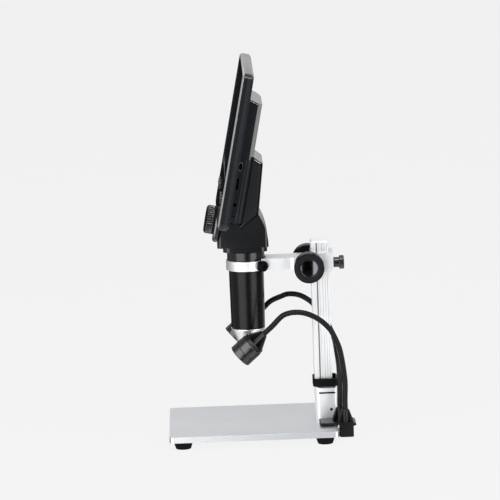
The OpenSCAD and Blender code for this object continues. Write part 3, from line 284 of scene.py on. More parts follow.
def screen_window(name):
    """Acrylic window printed black round the picture: glossy, with the dark panel showing
    a little bluer and lighter inside the printed border."""
    material, tree = new_material(name)
    place = add(tree, "ShaderNodeTexCoord").outputs["Object"]
    axes = add(tree, "ShaderNodeSeparateXYZ", Vector=place)
    within = {"operation": "COMPARE"}
    across = add(tree, "ShaderNodeMath", within, _0=axes.outputs[0], _1=0.0, _2=PICTURE_HALF_W * MM)
    upward = add(tree, "ShaderNodeMath", within, _0=axes.outputs[2], _1=0.0, _2=PICTURE_HALF_H * MM)
    picture = add(tree, "ShaderNodeMath", {"operation": "MULTIPLY"}, _0=across.outputs[0],
                  _1=upward.outputs[0])
    tone = add(tree, "ShaderNodeMix", COLOUR, Factor=picture.outputs[0],
               _6=srgb("#040405"), _7=srgb("#0E1114"))
    # fingers leave faint smears a centimetre or two across
    smear = add(tree, "ShaderNodeTexNoise", Vector=place, Scale=1 / (17 * MM), Detail=4.0)
    sheen = add(tree, "ShaderNodeMapRange", Value=smear.outputs[0], To_Min=0.06, To_Max=0.13)
    shader = add(tree, "ShaderNodeBsdfPrincipled", Base_Color=tone.outputs[2], IOR=1.49,
                 Specular_IOR_Level=0.4, Roughness=sheen.outputs[0])
    add(tree, "ShaderNodeOutputMaterial", Surface=shader.outputs[0])
    return material


def clear_resin(name, tint, rough, clear, index):
    """Glass or acrylic: how clear it is runs from 0 to 1, rough from polished to frosted."""
    material, tree = new_material(name)
    place = add(tree, "ShaderNodeTexCoord").outputs["Object"]
    smear = add(tree, "ShaderNodeTexNoise", Vector=place, Scale=1 / (5 * MM), Detail=2.0)
    sheen = add(tree, "ShaderNodeMapRange", Value=smear.outputs[0], To_Min=rough, To_Max=rough + 0.04)
    shader = add(tree, "ShaderNodeBsdfPrincipled", Base_Color=srgb(tint), IOR=index,
                 Transmission_Weight=clear, Roughness=sheen.outputs[0])
    add(tree, "ShaderNodeOutputMaterial", Surface=shader.outputs[0])
    return material


FINISHES = {
    # cast plate, blasted and anodised: a cool mid grey
    "plate": blasted_aluminium("bead_blasted_aluminium_plate", "#C6C8CB", "#D0D2D5", 0.42),
    # bright silver of the post, its cap and the socket block, all sawn from extruded lengths
    "post": extruded_aluminium("anodised_aluminium_extrusion", "#ECEDEF", "#F6F7F8", 0.42),
    # the rail groove's faces in a darker grey: painted shade in the recess
    "post_groove": extruded_aluminium("dull_aluminium_extrusion", "#A2A4A8", "#AEB0B4", 0.55),
    # the fine grooves beside it a little darker: painted shade too
    "post_line": extruded_aluminium("worn_aluminium_extrusion", "#C2C4C7", "#CDCFD1", 0.50),
    # the arm, die cast and blasted, a shade softer than the post
    "arm": blasted_aluminium("anodised_die_cast_aluminium", "#D3D4D6", "#DDDEE0", 0.50),
    # fresh from the lathe, and brighter than the anodised parts
    "nose": turned_metal("turned_aluminium", "#F0F1F3", "#FAFAFB", 0.40),
    # bare steel is darker than aluminium, and zinc plated over it bluish and glossier
    "steel": turned_metal("milled_steel", "#A6A6A8", "#BEBEC0", 0.34),
    "brass": turned_metal("turned_brass", "#B08A48", "#C9A25C", 0.32),
    "zinc": turned_metal("zinc_plated_steel", "#B4B8BE", "#CDD0D4", 0.28),
    # black oxide over steel keeps an oily, low sheen
    "black_steel": turned_metal("black_oxide_steel", "#1D1D1E", "#2B2B2C", 0.42),
    # feet and pads: black filled with soot, hardly any gloss
    "rubber": moulded_rubber("moulded_rubber", "#060607", "#0A0A0B", 0.62, 0.08),
    # glass-filled nylon: a dry, slightly mottled black
    "nylon": moulded_plastic("moulded_nylon", "#09090A", "#0E0E10", 0.34, 0.6, 0.03, 0.3),
    # satin mould on the focus knobs
    "knob": moulded_plastic("satin_moulded_abs", "#09090B", "#0F0F11", 0.30, 0.6, 0.015, 0.4),
    # a matte, deeper black: the clamp screw's own plastic, and painted shade on knurls, groove floors,
    # slits, chamfers and dark bands along housing edges
    "grip": moulded_plastic("matte_moulded_abs", "#060607", "#0A0A0B", 0.34, 0.6, 0.015, 0.07),
    # the small ribbed rims are polished by fingers
    "rim": moulded_plastic("polished_moulded_abs", "#0D0D0F", "#131316", 0.22, 0.6, 0.01, 0.9),
    # the knobs' end discs: black nickel over polished brass, a dark mirror
    "bowl": mirror_plating("black_nickel_plating", "#56565C", "#5A5A60", 0.09),
    # spark-eroded mould: a fine orange peel, pits 0.1 mm wide, drawn at 0.6 mm so that they show
    "housing": moulded_plastic("spark_textured_abs", "#0B0C0E", "#101114", 0.24, 0.6, 0.012, 0.4),
    # the rear of the housing in a lighter black: painted light, making up for the shade that the screen
    # throws on its sides
    "rear": moulded_plastic("spark_textured_abs_rear", "#17191C", "#1C1E21", 0.24, 0.6, 0.012, 0.4),
    # the front of the frame is lacquered: smooth and deep black
    "bezel": moulded_plastic("lacquered_abs", "#050506", "#08080A", 0.16, 0.6, 0.004, 0.12),
    # the tube is dyed as it comes from the lathe
    "barrel": black_anodised("black_anodised_aluminium", "#070708", "#0B0B0D", 0.27, 0.18),
    # the collar over the barrel is polished before it is dyed
    "barrel_collar": black_anodised("polished_black_anodised_aluminium", "#09090B", "#0E0E10",
                                    0.25, 0.45),
    # the lamp heads are sealed under a glossy coat
    "lamp": black_anodised("black_anodised_lamp_head", "#060607", "#0A0A0B", 0.26, 0.8),
    # PVC skin over the gooseneck's coiled steel
    "sleeve": moulded_rubber("pvc_gooseneck_skin", "#040405", "#08080A", 0.16, 0.15),
    "window": screen_window("black_printed_acrylic"),
    # the frame's front chamfer in bright metal: a painted highlight along the edge
    "edge_highlight": mirror_plating("diamond_cut_aluminium_edge", "#C4C6CA", "#D2D4D7", 0.24),
    # its coating against reflections leaves a trace of blue
    "glass": clear_resin("coated_optical_glass", "#DCEBF2", 0.02, 0.85, 1.52),
    "lamp_lens": clear_resin("moulded_acrylic_lens", "#F4F6F7", 0.04, 0.95, 1.49),
    # yellow phosphor under clear silicone
    "phosphor": moulded_plastic("led_phosphor", "#D9C45A", "#E4D173", 0.30, 0.5, 0.01),
    # inside of the lens cell and the ports: no gloss at all
    "holder": moulded_plastic("flocked_black_plastic", "#050506", "#090909", 0.7, 0.6, 0.05, 0.1),
    # solder lacquer lies over the copper tracks and keeps their relief
    "white_mask": moulded_plastic("white_solder_mask", "#E9E9E4", "#F3F3EE", 0.45, 1.0, 0.01),
    "board": moulded_plastic("green_solder_mask", "#0C3B1E", "#12512A", 0.4, 1.2, 0.02),
    # inside the housing: the back of the panel, and a battery in its shrunk sleeve
    "sheet": turned_metal("pressed_steel_sheet", "#9B9C9E", "#B0B1B3", 0.38),
    "wrap": moulded_plastic("battery_shrink_wrap", "#3D444E", "#4A525D", 0.3, 2.0, 0.03),
    # a grey a shade lighter than the bezel round it
    "key": moulded_plastic("satin_key_cap", "#222326", "#2A2B2E", 0.36, 0.6, 0.02),
}

# CAD node: finish, and the radius in millimetres that its edges are rounded to
DRESS = {
    "base_plate": ("plate", 0.5), "rubber_feet": ("rubber", 0.25), "foot_screws": ("black_steel", 0),
    "rack_post": ("post", 0.15), "post_cap": ("post", 0.25), "rack_bar": ("steel", 0),
    "rack_screws": ("black_steel", 0), "post_socket": ("post", 0.35), "socket_screw": ("black_steel", 0),
    "post_bolts": ("black_steel", 0), "cable_collar": ("rubber", 0.4), "slide_arm": ("arm", 0.35),
    "shaft_bushes": ("brass", 0), "pinion_shaft": ("steel", 0), "tension_pad": ("brass", 0),
    "objective_lens": ("glass", 0), "led_board": ("white_mask", 0), "nose_window": ("glass", 0),
    "lens_cell": ("holder", 0), "cell_lens": ("glass", 0), "sensor_board": ("board", 0),
    # the rear tower and rear cover take the lighter rear black: painted light
    "focus_gearbox": ("holder", 0), "neck_skirt": ("housing", 0.5), "rear_tower": ("rear", 0.6),
    "rear_cover": ("rear", 0.45), "display_frame": ("housing", 0.6), "lcd_panel": ("sheet", 0),
    "main_board": ("board", 0), "battery_pack": ("wrap", 0), "power_jack": ("holder", 0),
    "card_slot": ("holder", 0), "case_screws": ("black_steel", 0),
    **{f"button_{place}": ("key", 0.35) for place in range(1, 7)},
    "clip_top": ("nylon", 0.25), "clip_jaw": ("nylon", 0.4), "clip_pin": ("steel", 0),
    "clip_spring": ("zinc", 0), "clip_pads": ("rubber", 0.3),
    "lamp_cap_right": ("nylon", 0.2), "lamp_cap_left": ("nylon", 0.2),
}

# grooves along the post's sides, whose faces take painted shade: from and to a distance from its middle,
# then from and to a Y
RAIL_GROOVE = (8.9, 10.95, 59, 60.6)
FINE_GROOVES = (10, 10.98, 61, 71)
# the socket block's clamping slits: levels of their lower and upper faces, solid's and opened
SLIT_FACES = ((41.55, 41.15), (42.45, 42.85))
SOCKET_HALF_W = 16


def smooth_by_angle(mesh, degrees=32):
    """Smooth faces, with sharp edges where the surface turns by more than the angle."""
    mesh.shade_smooth()
    mesh.set_sharp_from_angle(angle=math.radians(degrees))


def take_place(obj, finish, node):
    """Gives a new piece its finish, and lets it ride for the CAD node that it stands for."""
    obj.data.materials.clear()
    obj.data.materials.append(FINISHES[finish])
    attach(obj, BODY_OF[node])
    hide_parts(node)
    return obj


def paint(obj, finish, chosen):
    """A second finish for the faces whose middle and normal the test picks."""
    obj.data.materials.append(FINISHES[finish])
    index = len(obj.data.materials) - 1
    for face in obj.data.polygons:
        if chosen(face.center / MM, face.normal):
            face.material_index = index


def rounded_copy(node, finish, radius):
    """A copy of a CAD node whose sharp edges are rounded, in the node's place."""
    weld = 0.002 * MM
    # degrees: flatter facets are joined, sharper edges are rounded, and sharper creases stay
    flat, edge, crease = 0.5, 28, 40
    mesh = frame["nodes"][node].data.copy()
    mesh.name = node + "_rounded"
    obj = bpy.data.objects.new(node + "_rounded", mesh)
    bpy.context.scene.collection.objects.link(obj)
    shape = bmesh.new()
    shape.from_mesh(mesh)
    bmesh.ops.remove_doubles(shape, verts=shape.verts, dist=weld)
    bmesh.ops.dissolve_limit(shape, angle_limit=math.radians(flat), verts=shape.verts,
                             edges=shape.edges)
    shape.to_mesh(mesh)
    shape.free()
    for attribute in ("custom_normal", "sharp_face"):
        if attribute in mesh.attributes:
            mesh.attributes.remove(mesh.attributes[attribute])
    bevel = obj.modifiers.new("edge_round", "BEVEL")
    bevel.width = radius * MM
    bevel.segments = 3
    bevel.limit_method = "ANGLE"
    bevel.angle_limit = math.radians(edge)
    bevel.use_clamp_overlap = True
    bevel.harden_normals = True
    smooth_by_angle(mesh, crease)
    return take_place(obj, finish, node)


def flatten_shoulders(mesh):
    """Lays the two shoulders of the rear cover's hump flatter than the solid's: 12.6 mm across
    and 4.4 mm deep, so that they catch the light of the room behind."""
    # a shoulder runs from its outer edge on the hump's side to its inner edge on the back
    outer_x, outer_y, inner_x, inner_y = 44, 19.2, 36, 25.8
    laid_outer_y, laid_inner_x = 21.4, 31.4
    # the hump's top begins at this height and depth and falls 5 mm over its 14.6 mm
    top_z, top_y, fall, run = 127, 11.2, 5, 14.6
    leaning = screen_axes()
    to_screen = leaning.inverted()
    for point in mesh.vertices:
        at = to_screen @ point.co / MM
        if abs(abs(at.x) - outer_x) < 0.2 and abs(at.y - outer_y) < 0.3:
            at.y = laid_outer_y
            if at.z > 100:
                at.z = top_z - (laid_outer_y - top_y) * fall / run
        elif abs(abs(at.x) - inner_x) < 0.2 and abs(at.y - inner_y) < 0.3:
            at.x = math.copysign(laid_inner_x, at.x)
        else:
            continue
        point.co = leaning @ (at * MM)


def widen_slits(mesh):
    """Opens the clamping slits of the socket block to 1.7 mm, so that they show from afar."""
    for point in mesh.vertices:
        for solid, opened in SLIT_FACES:
            if abs(point.co.z / MM - solid) < 0.1:
                point.co.z = opened * MM


def in_groove(at, groove):
    """Whether a place in millimetres is inside the post's side groove with these bounds."""
    near, far, front, back = groove
    return near < abs(at.x) < far and front < at.y < back


def dress_nodes():
    """Finishes the CAD nodes that keep their shape. The ones with a radius are rounded first, and
    some take a second finish on some faces: the bezel's black, a painted highlight on the frame's
    front edge, and painted shade in grooves, slits and chamfers."""
    front = screen_axes().to_3x3() @ Vector((0, -1, 0))
    for node, (finish, radius) in DRESS.items():
        if not radius:
            mesh = frame["nodes"][node].data
            mesh.materials.clear()
            mesh.materials.append(FINISHES[finish])
            smooth_by_angle(mesh)
            continue
        piece = rounded_copy(node, finish, radius)
        if node == "rear_cover":
            flatten_shoulders(piece.data)
        elif node == "display_frame":
            paint(piece, "bezel", lambda at, way: way.dot(front) > 0.95)
            # painted highlight: the front chamfer's faces in bright metal
            paint(piece, "edge_highlight", lambda at, way: 0.5 < way.dot(front) < 0.9)
        elif node == "rear_tower":
            # its two upright chamfers in the deeper, matte black: painted shade
            paint(piece, "grip", lambda at, way: way.y > 0.3 and abs(way.x) > 0.3)
        elif node == "rack_post":
            # painted shade: the grooves' faces take the darker greys
            paint(piece, "post_groove", lambda at, way: in_groove(at, RAIL_GROOVE))
            paint(piece, "post_line", lambda at, way: in_groove(at, FINE_GROOVES))
        elif node == "post_socket":
            widen_slits(piece.data)
            # painted shade: the opened slits' faces in the deeper black
            paint(piece, "grip", lambda at, way: 40.8 < at.z < 43 and abs(at.x) < SOCKET_HALF_W - 0.1)


# ---------------------------------------------------------------- skins over rings of points

def skin(name, rings, axes=Matrix.Identity(4), joined=False, sharp=38):
    """A closed surface over rings of points in metres. A ring of one point is a tip. The last
    ring joins the first, or else the end rings are closed flat."""
    shape = bmesh.new()
    rows = [[shape.verts.new(p) for p in ring] for ring in rings]
    count = max(len(row) for row in rows)
    for i in range(len(rows) if joined else len(rows) - 1):
        low, high = rows[i], rows[(i + 1) % len(rows)]
        for k in range(count):
            n = (k + 1) % count
            corners = [low[k % len(low)], low[n % len(low)], high[n % len(high)], high[k % len(high)]]
            distinct = list(dict.fromkeys(corners))
            if len(distinct) > 2:
                shape.faces.new(distinct)
    if not joined:
        for row in (rows[0], rows[-1]):
            if len(row) > 2:
                shape.faces.new(row)
    bmesh.ops.recalc_face_normals(shape, faces=shape.faces)
    mesh = bpy.data.meshes.new(name)
    shape.to_mesh(mesh)
    shape.free()
    smooth_by_angle(mesh, sharp)
    obj = bpy.data.objects.new(name, mesh)
    bpy.context.scene.collection.objects.link(obj)
    obj.matrix_world = axes
    return obj


def with_fillets(outline):
    """The outline's points, each corner (a, b, radius) that has a radius eased into a curve."""
    steps = 4
    # two curves at the ends of a short side leave a little of it between them
    most = 0.49
    points = []
    for i, corner in enumerate(outline):
        here = Vector(corner[:2])
        if len(corner) < 3:
            points.append(here)
            continue
        back = Vector(outline[i - 1][:2]) - here
        on = Vector(outline[(i + 1) % len(outline)][:2]) - here
        reach = corner[2] / math.tan(back.angle(on) / 2)
        start = here + back.normalized() * min(reach, back.length * most)
        end = here + on.normalized() * min(reach, on.length * most)
        for s in range(steps + 1):
            t = s / steps
            points.append(start * (1 - t) ** 2 + here * 2 * t * (1 - t) + end * t ** 2)
    return points


def turned(name, outline, axes, sides, ribs=()):
    """A piece spun round its own Z from corners (radius, height, fillet) in millimetres. Each of
    the ribs is (count, depth, from height, to height): grooves cut along the outside, which is
    what lies beyond 0.65 of the greatest radius."""
    rings = []
    inner = 0.65 * max(corner[0] for corner in outline)
    for point in with_fillets(outline):
        if point.x < 1e-6:
            rings.append([Vector((0, 0, point.y * MM))])
            continue
        ring = []
        for k in range(sides):
            angle = 2 * math.pi * k / sides
            radius = point.x
            for count, depth, low, high in ribs:
                if low <= point.y <= high and point.x > inner:
                    radius -= depth * (0.5 - 0.5 * math.cos(count * angle)) ** 2
            ring.append(Vector((radius * math.cos(angle), radius * math.sin(angle), point.y)) * MM)
        rings.append(ring)
    return skin(name, rings, axes, joined=True)


# ---------------------------------------------------------------- turning pieces

def coarse_knob(side, node):
    """Dished focus knob: ribbed grip, flat ring face, polished bowl."""
    radius, length, inner_end = 15, 15, 18.5
    bowl_radius, bowl_depth, bowl_slope = 8.4, 5.5, math.radians(13.5)
    outline = [(0, 0), (14.2, 0, 0.3), (radius, 0.9, 0.3), (radius, 14, 0.4), (14, length, 0.4),
               (bowl_radius + 0.25, length, 0.25), (bowl_radius, length - 3.4)]
    # the bowl is part of a ball, from its rim to its middle
    ball = (bowl_radius - 0.1) / math.sin(bowl_slope)
    steps = 14
    for i in range(steps + 1):
        angle = bowl_slope * (1 - i / steps)
        outline.append((ball * math.sin(angle), length - bowl_depth + ball * (1 - math.cos(angle))))
    axes = (Matrix.Translation(spot(side * inner_end, SHAFT_Y, SHAFT_Z))
            @ Matrix.Rotation(side * math.pi / 2, 4, "Y"))
    knob = turned(node + "_turned", outline, axes, sides=288, ribs=[(48, 0.5, 1.2, 13.6)])
    take_place(knob, "knob", node)
    paint(knob, "bowl", lambda at, way: at.z > 5 and at.xy.length < bowl_radius - 0.12)
    # painted shade: the ribbed side and the back in the deeper black
    paint(knob, "grip", lambda at, way: at.xy.length > 13.9 or at.z < 1)


def fine_wheel():
    """Ribbed wheel under the screen, with a recess in its face. Its groove floors and both ends of
    its grip are in a deeper black than the ribs: painted shade."""
    outline = [(0, -21), (2.9, -21, 0.3), (2.9, -0.05), (13.8, -0.05, 0.3), (14.3, 0.6, 0.3),
               (14.3, 3), (14.3, 9.2, 0.5), (13.5, 9.9, 0.4), (12.3, 11, 0.6), (9.9, 11, 0.4),
               (9.6, 10, 0.3), (4, 10, 0.5), (0, 10)]
    axes = screen_axes(depth=0.6, height=-4.4) @ Matrix.Rotation(math.pi / 2, 4, "X")
    wheel = turned("focus_wheel_turned", outline, axes, sides=288, ribs=[(36, 1.0, 0.9, 9.4)])
    take_place(wheel, "rim", "focus_wheel")
    # painted shade: groove floors and both ends of the grip in the deeper black
    paint(wheel, "grip", lambda at, way: (at.z > 0.5 and 13 < at.xy.length < 13.75)
          or at.z < 3 or at.z > 9.7)


def rear_thumbscrew():
    """Stepped thumbscrew behind the post, with coarse ribs on its neck and finer ones on its head."""
    outline = [(0, -3.6), (1.95, -3.6, 0.3), (1.95, 0), (4.6, 0, 0.3), (5.1, 0.5, 0.2), (5.1, 6),
               (6.4, 6, 0.3), (6.9, 6.6, 0.3), (6.9, 10.2, 0.4), (6.2, 10.8, 0.3), (4.3, 10.8, 0.3),
               (4, 9.9, 0.3), (0, 9.6)]
    axes = Matrix.Translation(spot(0, 87.1, SHAFT_Z)) @ Matrix.Rotation(-math.pi / 2, 4, "X")
    ribs = [(16, 0.7, 0.8, 5.9), (20, 0.7, 6.9, 9.9)]
    screw = turned("tension_screw_turned", outline, axes, sides=240, ribs=ribs)
    take_place(screw, "rim", "tension_screw")
    # painted shade: the floors of the ribs' grooves in the deeper black
    paint(screw, "grip", lambda at, way: 0.7 < at.z < 10.2 and (
        4 < at.xy.length < 4.85 or 6 < at.xy.length < 6.6))


def ring_thumbscrew():
    """Small ribbed thumbscrew with a recessed end that clamps the ring of the arm."""
    outline = [(0, 17.8), (1.5, 17.8, 0.2), (1.5, 21), (4.8, 21, 0.3), (5.2, 21.5, 0.2),
               (5.2, 26.8, 0.4), (4.6, 27.4, 0.3), (2.1, 27.4, 0.2), (1.9, 25.4, 0.2), (0, 25.4)]
    axes = (Matrix.Translation(spot(0, 0, 173.6)) @ Matrix.Rotation(math.radians(42), 4, "Z")
            @ Matrix.Rotation(math.pi / 2, 4, "Y"))
    screw = turned("clamp_screw_turned", outline, axes, sides=240, ribs=[(24, 0.5, 21.8, 26.5)])
    take_place(screw, "grip", "clamp_screw")


# ---------------------------------------------------------------- lens barrel

def barrel():
    """Lens tube with its raised collar, and the bright cone that holds the front lens."""
    lens_axis = Matrix.Translation(spot(0, 0, 0))
    wall = [(14.9, 109.3), (16.4, 109.3, 0.2), (16.9, 110, 0.3), (17.5, 166.8), (17.5, 178.5),
            (18.1, 178.5, 0.2), (18.7, 179.1, 0.3), (18.7, 187.1, 0.5), (18.1, 188.35, 0.2),
            (16.9, 188.35), (16.9, 192.4), (14.9, 192.4)]
    tube = turned("lens_barrel_turned", wall, lens_axis, sides=128)
    take_place(tube, "barrel", "lens_barrel")
    paint(tube, "barrel_collar", lambda at, way: at.z > 178.4 and at.xy.length > 16)
    cone = [(14.8, 114.25), (13.1, 114.25), (13.1, 109.25), (9, 96.65, 0.4), (9, 94.65, 0.2),
            (9.4, 93.25, 0.2), (10.3, 93.25, 0.3), (10.8, 93.9, 0.4), (17.2, 108.6, 0.4),
            (17.2, 109.25), (14.8, 109.25)]
    take_place(turned("nose_cone_turned", cone, lens_axis, sides=128), "nose", "nose_cone")


# ---------------------------------------------------------------- screen

def window():
    """Window in front of the panel, with eased edges."""
    half_w, half_h, corner = 82.25, 48.25, 2.8
    near, far, edge = 0.3, 1.45, 0.35
    steps = 8
    rings = []
    for inset, depth in ((edge, near), (edge * 0.3, near + edge * 0.3), (0, near + edge), (0, far)):
        ring = []
        for sx, sz, first in ((1, 1, 0), (-1, 1, 90), (-1, -1, 180), (1, -1, 270)):
            for step in range(steps + 1):
                angle = math.radians(first + step * 90 / steps)
                radius = corner - inset
                ring.append(Vector((
                    sx * (half_w - corner) + radius * math.cos(angle), depth,
                    sz * (half_h - corner) + radius * math.sin(angle))) * MM)
        rings.append(ring)
    glass = skin("screen_window", rings, screen_axes(height=PICTURE_MIDDLE))
    take_place(glass, "window", "screen_glass")


def inlay(name, finish, node, axes, side, level, start, end, width):
    """A thin strip let into a side face at an X of side times level, between two places."""
    sunk, proud = 0.3, 0.08
    start, end = Vector(start), Vector(end)
    half = (end - start).orthogonal().normalized() * width / 2
    corners = (start - half, start + half, end + half, end - half)
    rings = [[Vector((side * x, c.x, c.y)) * MM for c in corners] for x in (level - sunk, level + proud)]
    take_place(skin(name, rings, axes), finish, node)


def housing_seams():
    """Dark joint between the skirt and the tower; at the top of the hump and of the tower a dark
    band of painted shade with a painted highlight line in it; and a grey painted highlight down
    the edge of the cover's hump; on both sides."""
    upright = Matrix.Translation(spot(0, 0, 0))
    leaning = screen_axes()
    # the dark bands are painted shade and the bright and grey lines painted highlights along edges; the
    # skirt joint is a real dark joint
    seams = (
        ("skirt_joint", "grip", "rear_tower", upright, 33, (-4.2, 214.6), (11.4, 227.4), 1.2),
        ("hump_gap", "grip", "rear_cover", leaning, 44, (11.7, 125.6), (20.9, 122.4), 1.9),
        ("hump_line", "post", "rear_cover", leaning, 44.04, (12.2, 125.4), (20.6, 122.5), 0.5),
        ("cover_line", "key", "rear_cover", leaning, 44, (19.2, 66), (18.6, 4), 1.0),
        ("tower_gap", "grip", "rear_tower", leaning, 33, (26.4, 67), (34.2, 63.4), 1.9),
        ("tower_line", "post", "rear_tower", leaning, 33.04, (26.8, 66.8), (33.8, 63.6), 0.5))
    for side, hand in ((1, "right"), (-1, "left")):
        for name, finish, node, axes, level, start, end, width in seams:
            inlay(name + "_" + hand, finish, node, axes, side, level, start, end, width)


def jack_rim():
    """Bright rolled rim round the power jack's opening, taller than it is wide."""
    depth, height, sides = 14.6, 59, 32
    angles = [2 * math.pi * k / sides for k in range(sides)]
    rings = []
    for radius, x in ((2.75, 43.7), (2.75, 44.1), (3.3, 44.1), (3.3, 43.7)):
        rings.append([Vector((x, depth + 0.62 * radius * math.cos(a),
                              height + (radius + 1.4) * math.sin(a))) * MM for a in angles])
    take_place(skin("jack_rim", rings, screen_axes(), joined=True), "steel", "rear_cover")


# ---------------------------------------------------------------- lamps

def lamp_axes(front, side):
    """Axes of a lamp head: Z runs back from its lens to its gooseneck."""
    return (Matrix.Translation(spot(*front)) @ Matrix.Rotation(math.radians(-side * LAMP_TURN), 4, "Z")
            @ Matrix.Rotation(math.radians(LAMP_DIP - 90), 4, "X"))


def lamp_head(front, side, suffix):
    """Turned lamp head, its acrylic lens, and the light-emitting chip in the lens's pocket."""
    axes = lamp_axes(front, side)
    shell = [(0, 17.85), (11.6, 17.85, 0.3), (12.2, 17.2, 0.3), (12.2, 8.05, 0.15),
             (11.75, 7.7, 0.1), (12.2, 7.35, 0.15), (12.2, 0.6, 0.3), (11.6, 0, 0.3),
             (10.3, 0, 0.2), (10.2, 2.6), (7.8, 5, 0.2), (0, 5)]
    head = turned("lamp_head_" + suffix, shell, axes, sides=128)
    take_place(head, "lamp", "lamp_body_" + suffix)
    dome = [(0, 1.4), (5, 1.6, 2), (10.05, 2.55, 0.2), (7.7, 4.9, 0.2), (2.6, 4.9, 0.2),
            (2.3, 3.4, 0.4), (0, 3.1)]
    lens = turned("lamp_lens_turned_" + suffix, dome, axes, sides=96)
    take_place(lens, "lamp_lens", "lamp_lens_" + suffix)
    button = [(0, 3.6), (1, 3.9, 1), (1.5, 4.6, 0.3), (1.5, 4.85), (0, 4.85)]
    chip = turned("led_chip_" + suffix, button, axes, sides=32)
    take_place(chip, "phosphor", "lamp_lens_" + suffix)


# places along the middle of each gooseneck, from its clip up, and the middle of each lamp's front
ROUTE_RIGHT = [
    (39, 93.3, 18.2), (39, 93.3, 39), (39, 93.9, 56.3), (39, 92.6, 71.6), (39, 90.9, 83.8),
    (39.3, 88.8, 93.3), (39.7, 84.9, 103.2), (40, 80.7, 111.2), (40, 72.9, 119.6), (40, 64.3, 125.3),
    (39.3, 55.8, 128.6), (38.8, 48, 129.6), (37.5, 40.4, 128.8), (36, 33, 125.4),
]
ROUTE_LEFT = [
    (28, 88.4, 18.2), (28, 88.4, 34), (26.5, 88.8, 44), (22, 89.2, 57), (14, 89, 70.7), (3, 87.9, 82),
    (-9, 86.8, 90.2), (-21, 83.8, 98.3), (-30, 79.2, 107), (-35, 73.6, 115.6), (-38, 65.3, 125.1),
    (-39.2, 54, 132.3), (-38.6, 42.6, 134.3), (-37, 34, 132.2),
]
LAMP_FRONT_RIGHT = (31.5, -9.9, 85.6)
LAMP_FRONT_LEFT = (-31.5, -14.9, 93.3)
# where each gooseneck meets its lamp's axis: millimetres behind the lamp's front
STATIONS_RIGHT = (45.1, 38.1, 24.9)
STATIONS_LEFT = (52.1, 42.1, 24.9)


def curve_point(route, t):
    """A place on the smooth curve through the route's points, where t counts the points."""
    i = min(int(t), len(route) - 2)
    f = t - i
    b, c = route[i], route[i + 1]
    a = route[i - 1] if i > 0 else 2 * b - c
    d = route[i + 2] if i < len(route) - 2 else 2 * c - b
    return 0.5 * (2 * b + (c - a) * f + (2 * a - 5 * b + 4 * c - d) * f * f
                  + (3 * b - a - 3 * c + d) * f ** 3)


def gooseneck(suffix, route, front, side, stations):
    """Flexible neck: a coiled tube whose turns show as ribs under a thin skin. It follows its
    route and ends at the stations on the lamp's own axis."""
    radius, pitch, groove = 2.8 * MM, 2.5 * MM, 0.24 * MM
    sides, steps = 20, 24
    back = lamp_axes(front, side)
    points = [spot(*p) for p in route]
    points += [back @ Vector((0, 0, s * MM)) for s in stations]
    dense = [curve_point(points, i / steps) for i in range(steps * (len(points) - 1) + 1)]
    run = [0.0]
    for one, other in zip(dense, dense[1:]):
        run.append(run[-1] + (other - one).length)
    turns = round(run[-1] / pitch)
    # share of the groove's depth at steps through one turn
    wave = (1.0, 0.45, 0.08, 0.0, 0.08, 0.45)
    rings = []
    # any direction that no part of the neck runs in, carried along so that the skin never twists
    normal = Vector((1, 0.6, 0.6))
    at = 0
    for j in range(turns * len(wave) + 1):
        s = run[-1] * j / (turns * len(wave))
        while at < len(run) - 2 and run[at + 1] < s:
            at += 1
        share = (s - run[at]) / (run[at + 1] - run[at])
        middle = dense[at].lerp(dense[at + 1], share)
        way = (dense[at + 1] - dense[at]).normalized()
        normal = (normal - way * normal.dot(way)).normalized()
        across = way.cross(normal)
        r = radius - groove * wave[j % len(wave)]
        rings.append([middle + (normal * math.cos(2 * math.pi * k / sides)
                                + across * math.sin(2 * math.pi * k / sides)) * r
                      for k in range(sides)])
    neck = skin("gooseneck_ribbed_" + suffix, rings, sharp=60)
    take_place(neck, "sleeve", "gooseneck_" + suffix)


# ---------------------------------------------------------------- studio

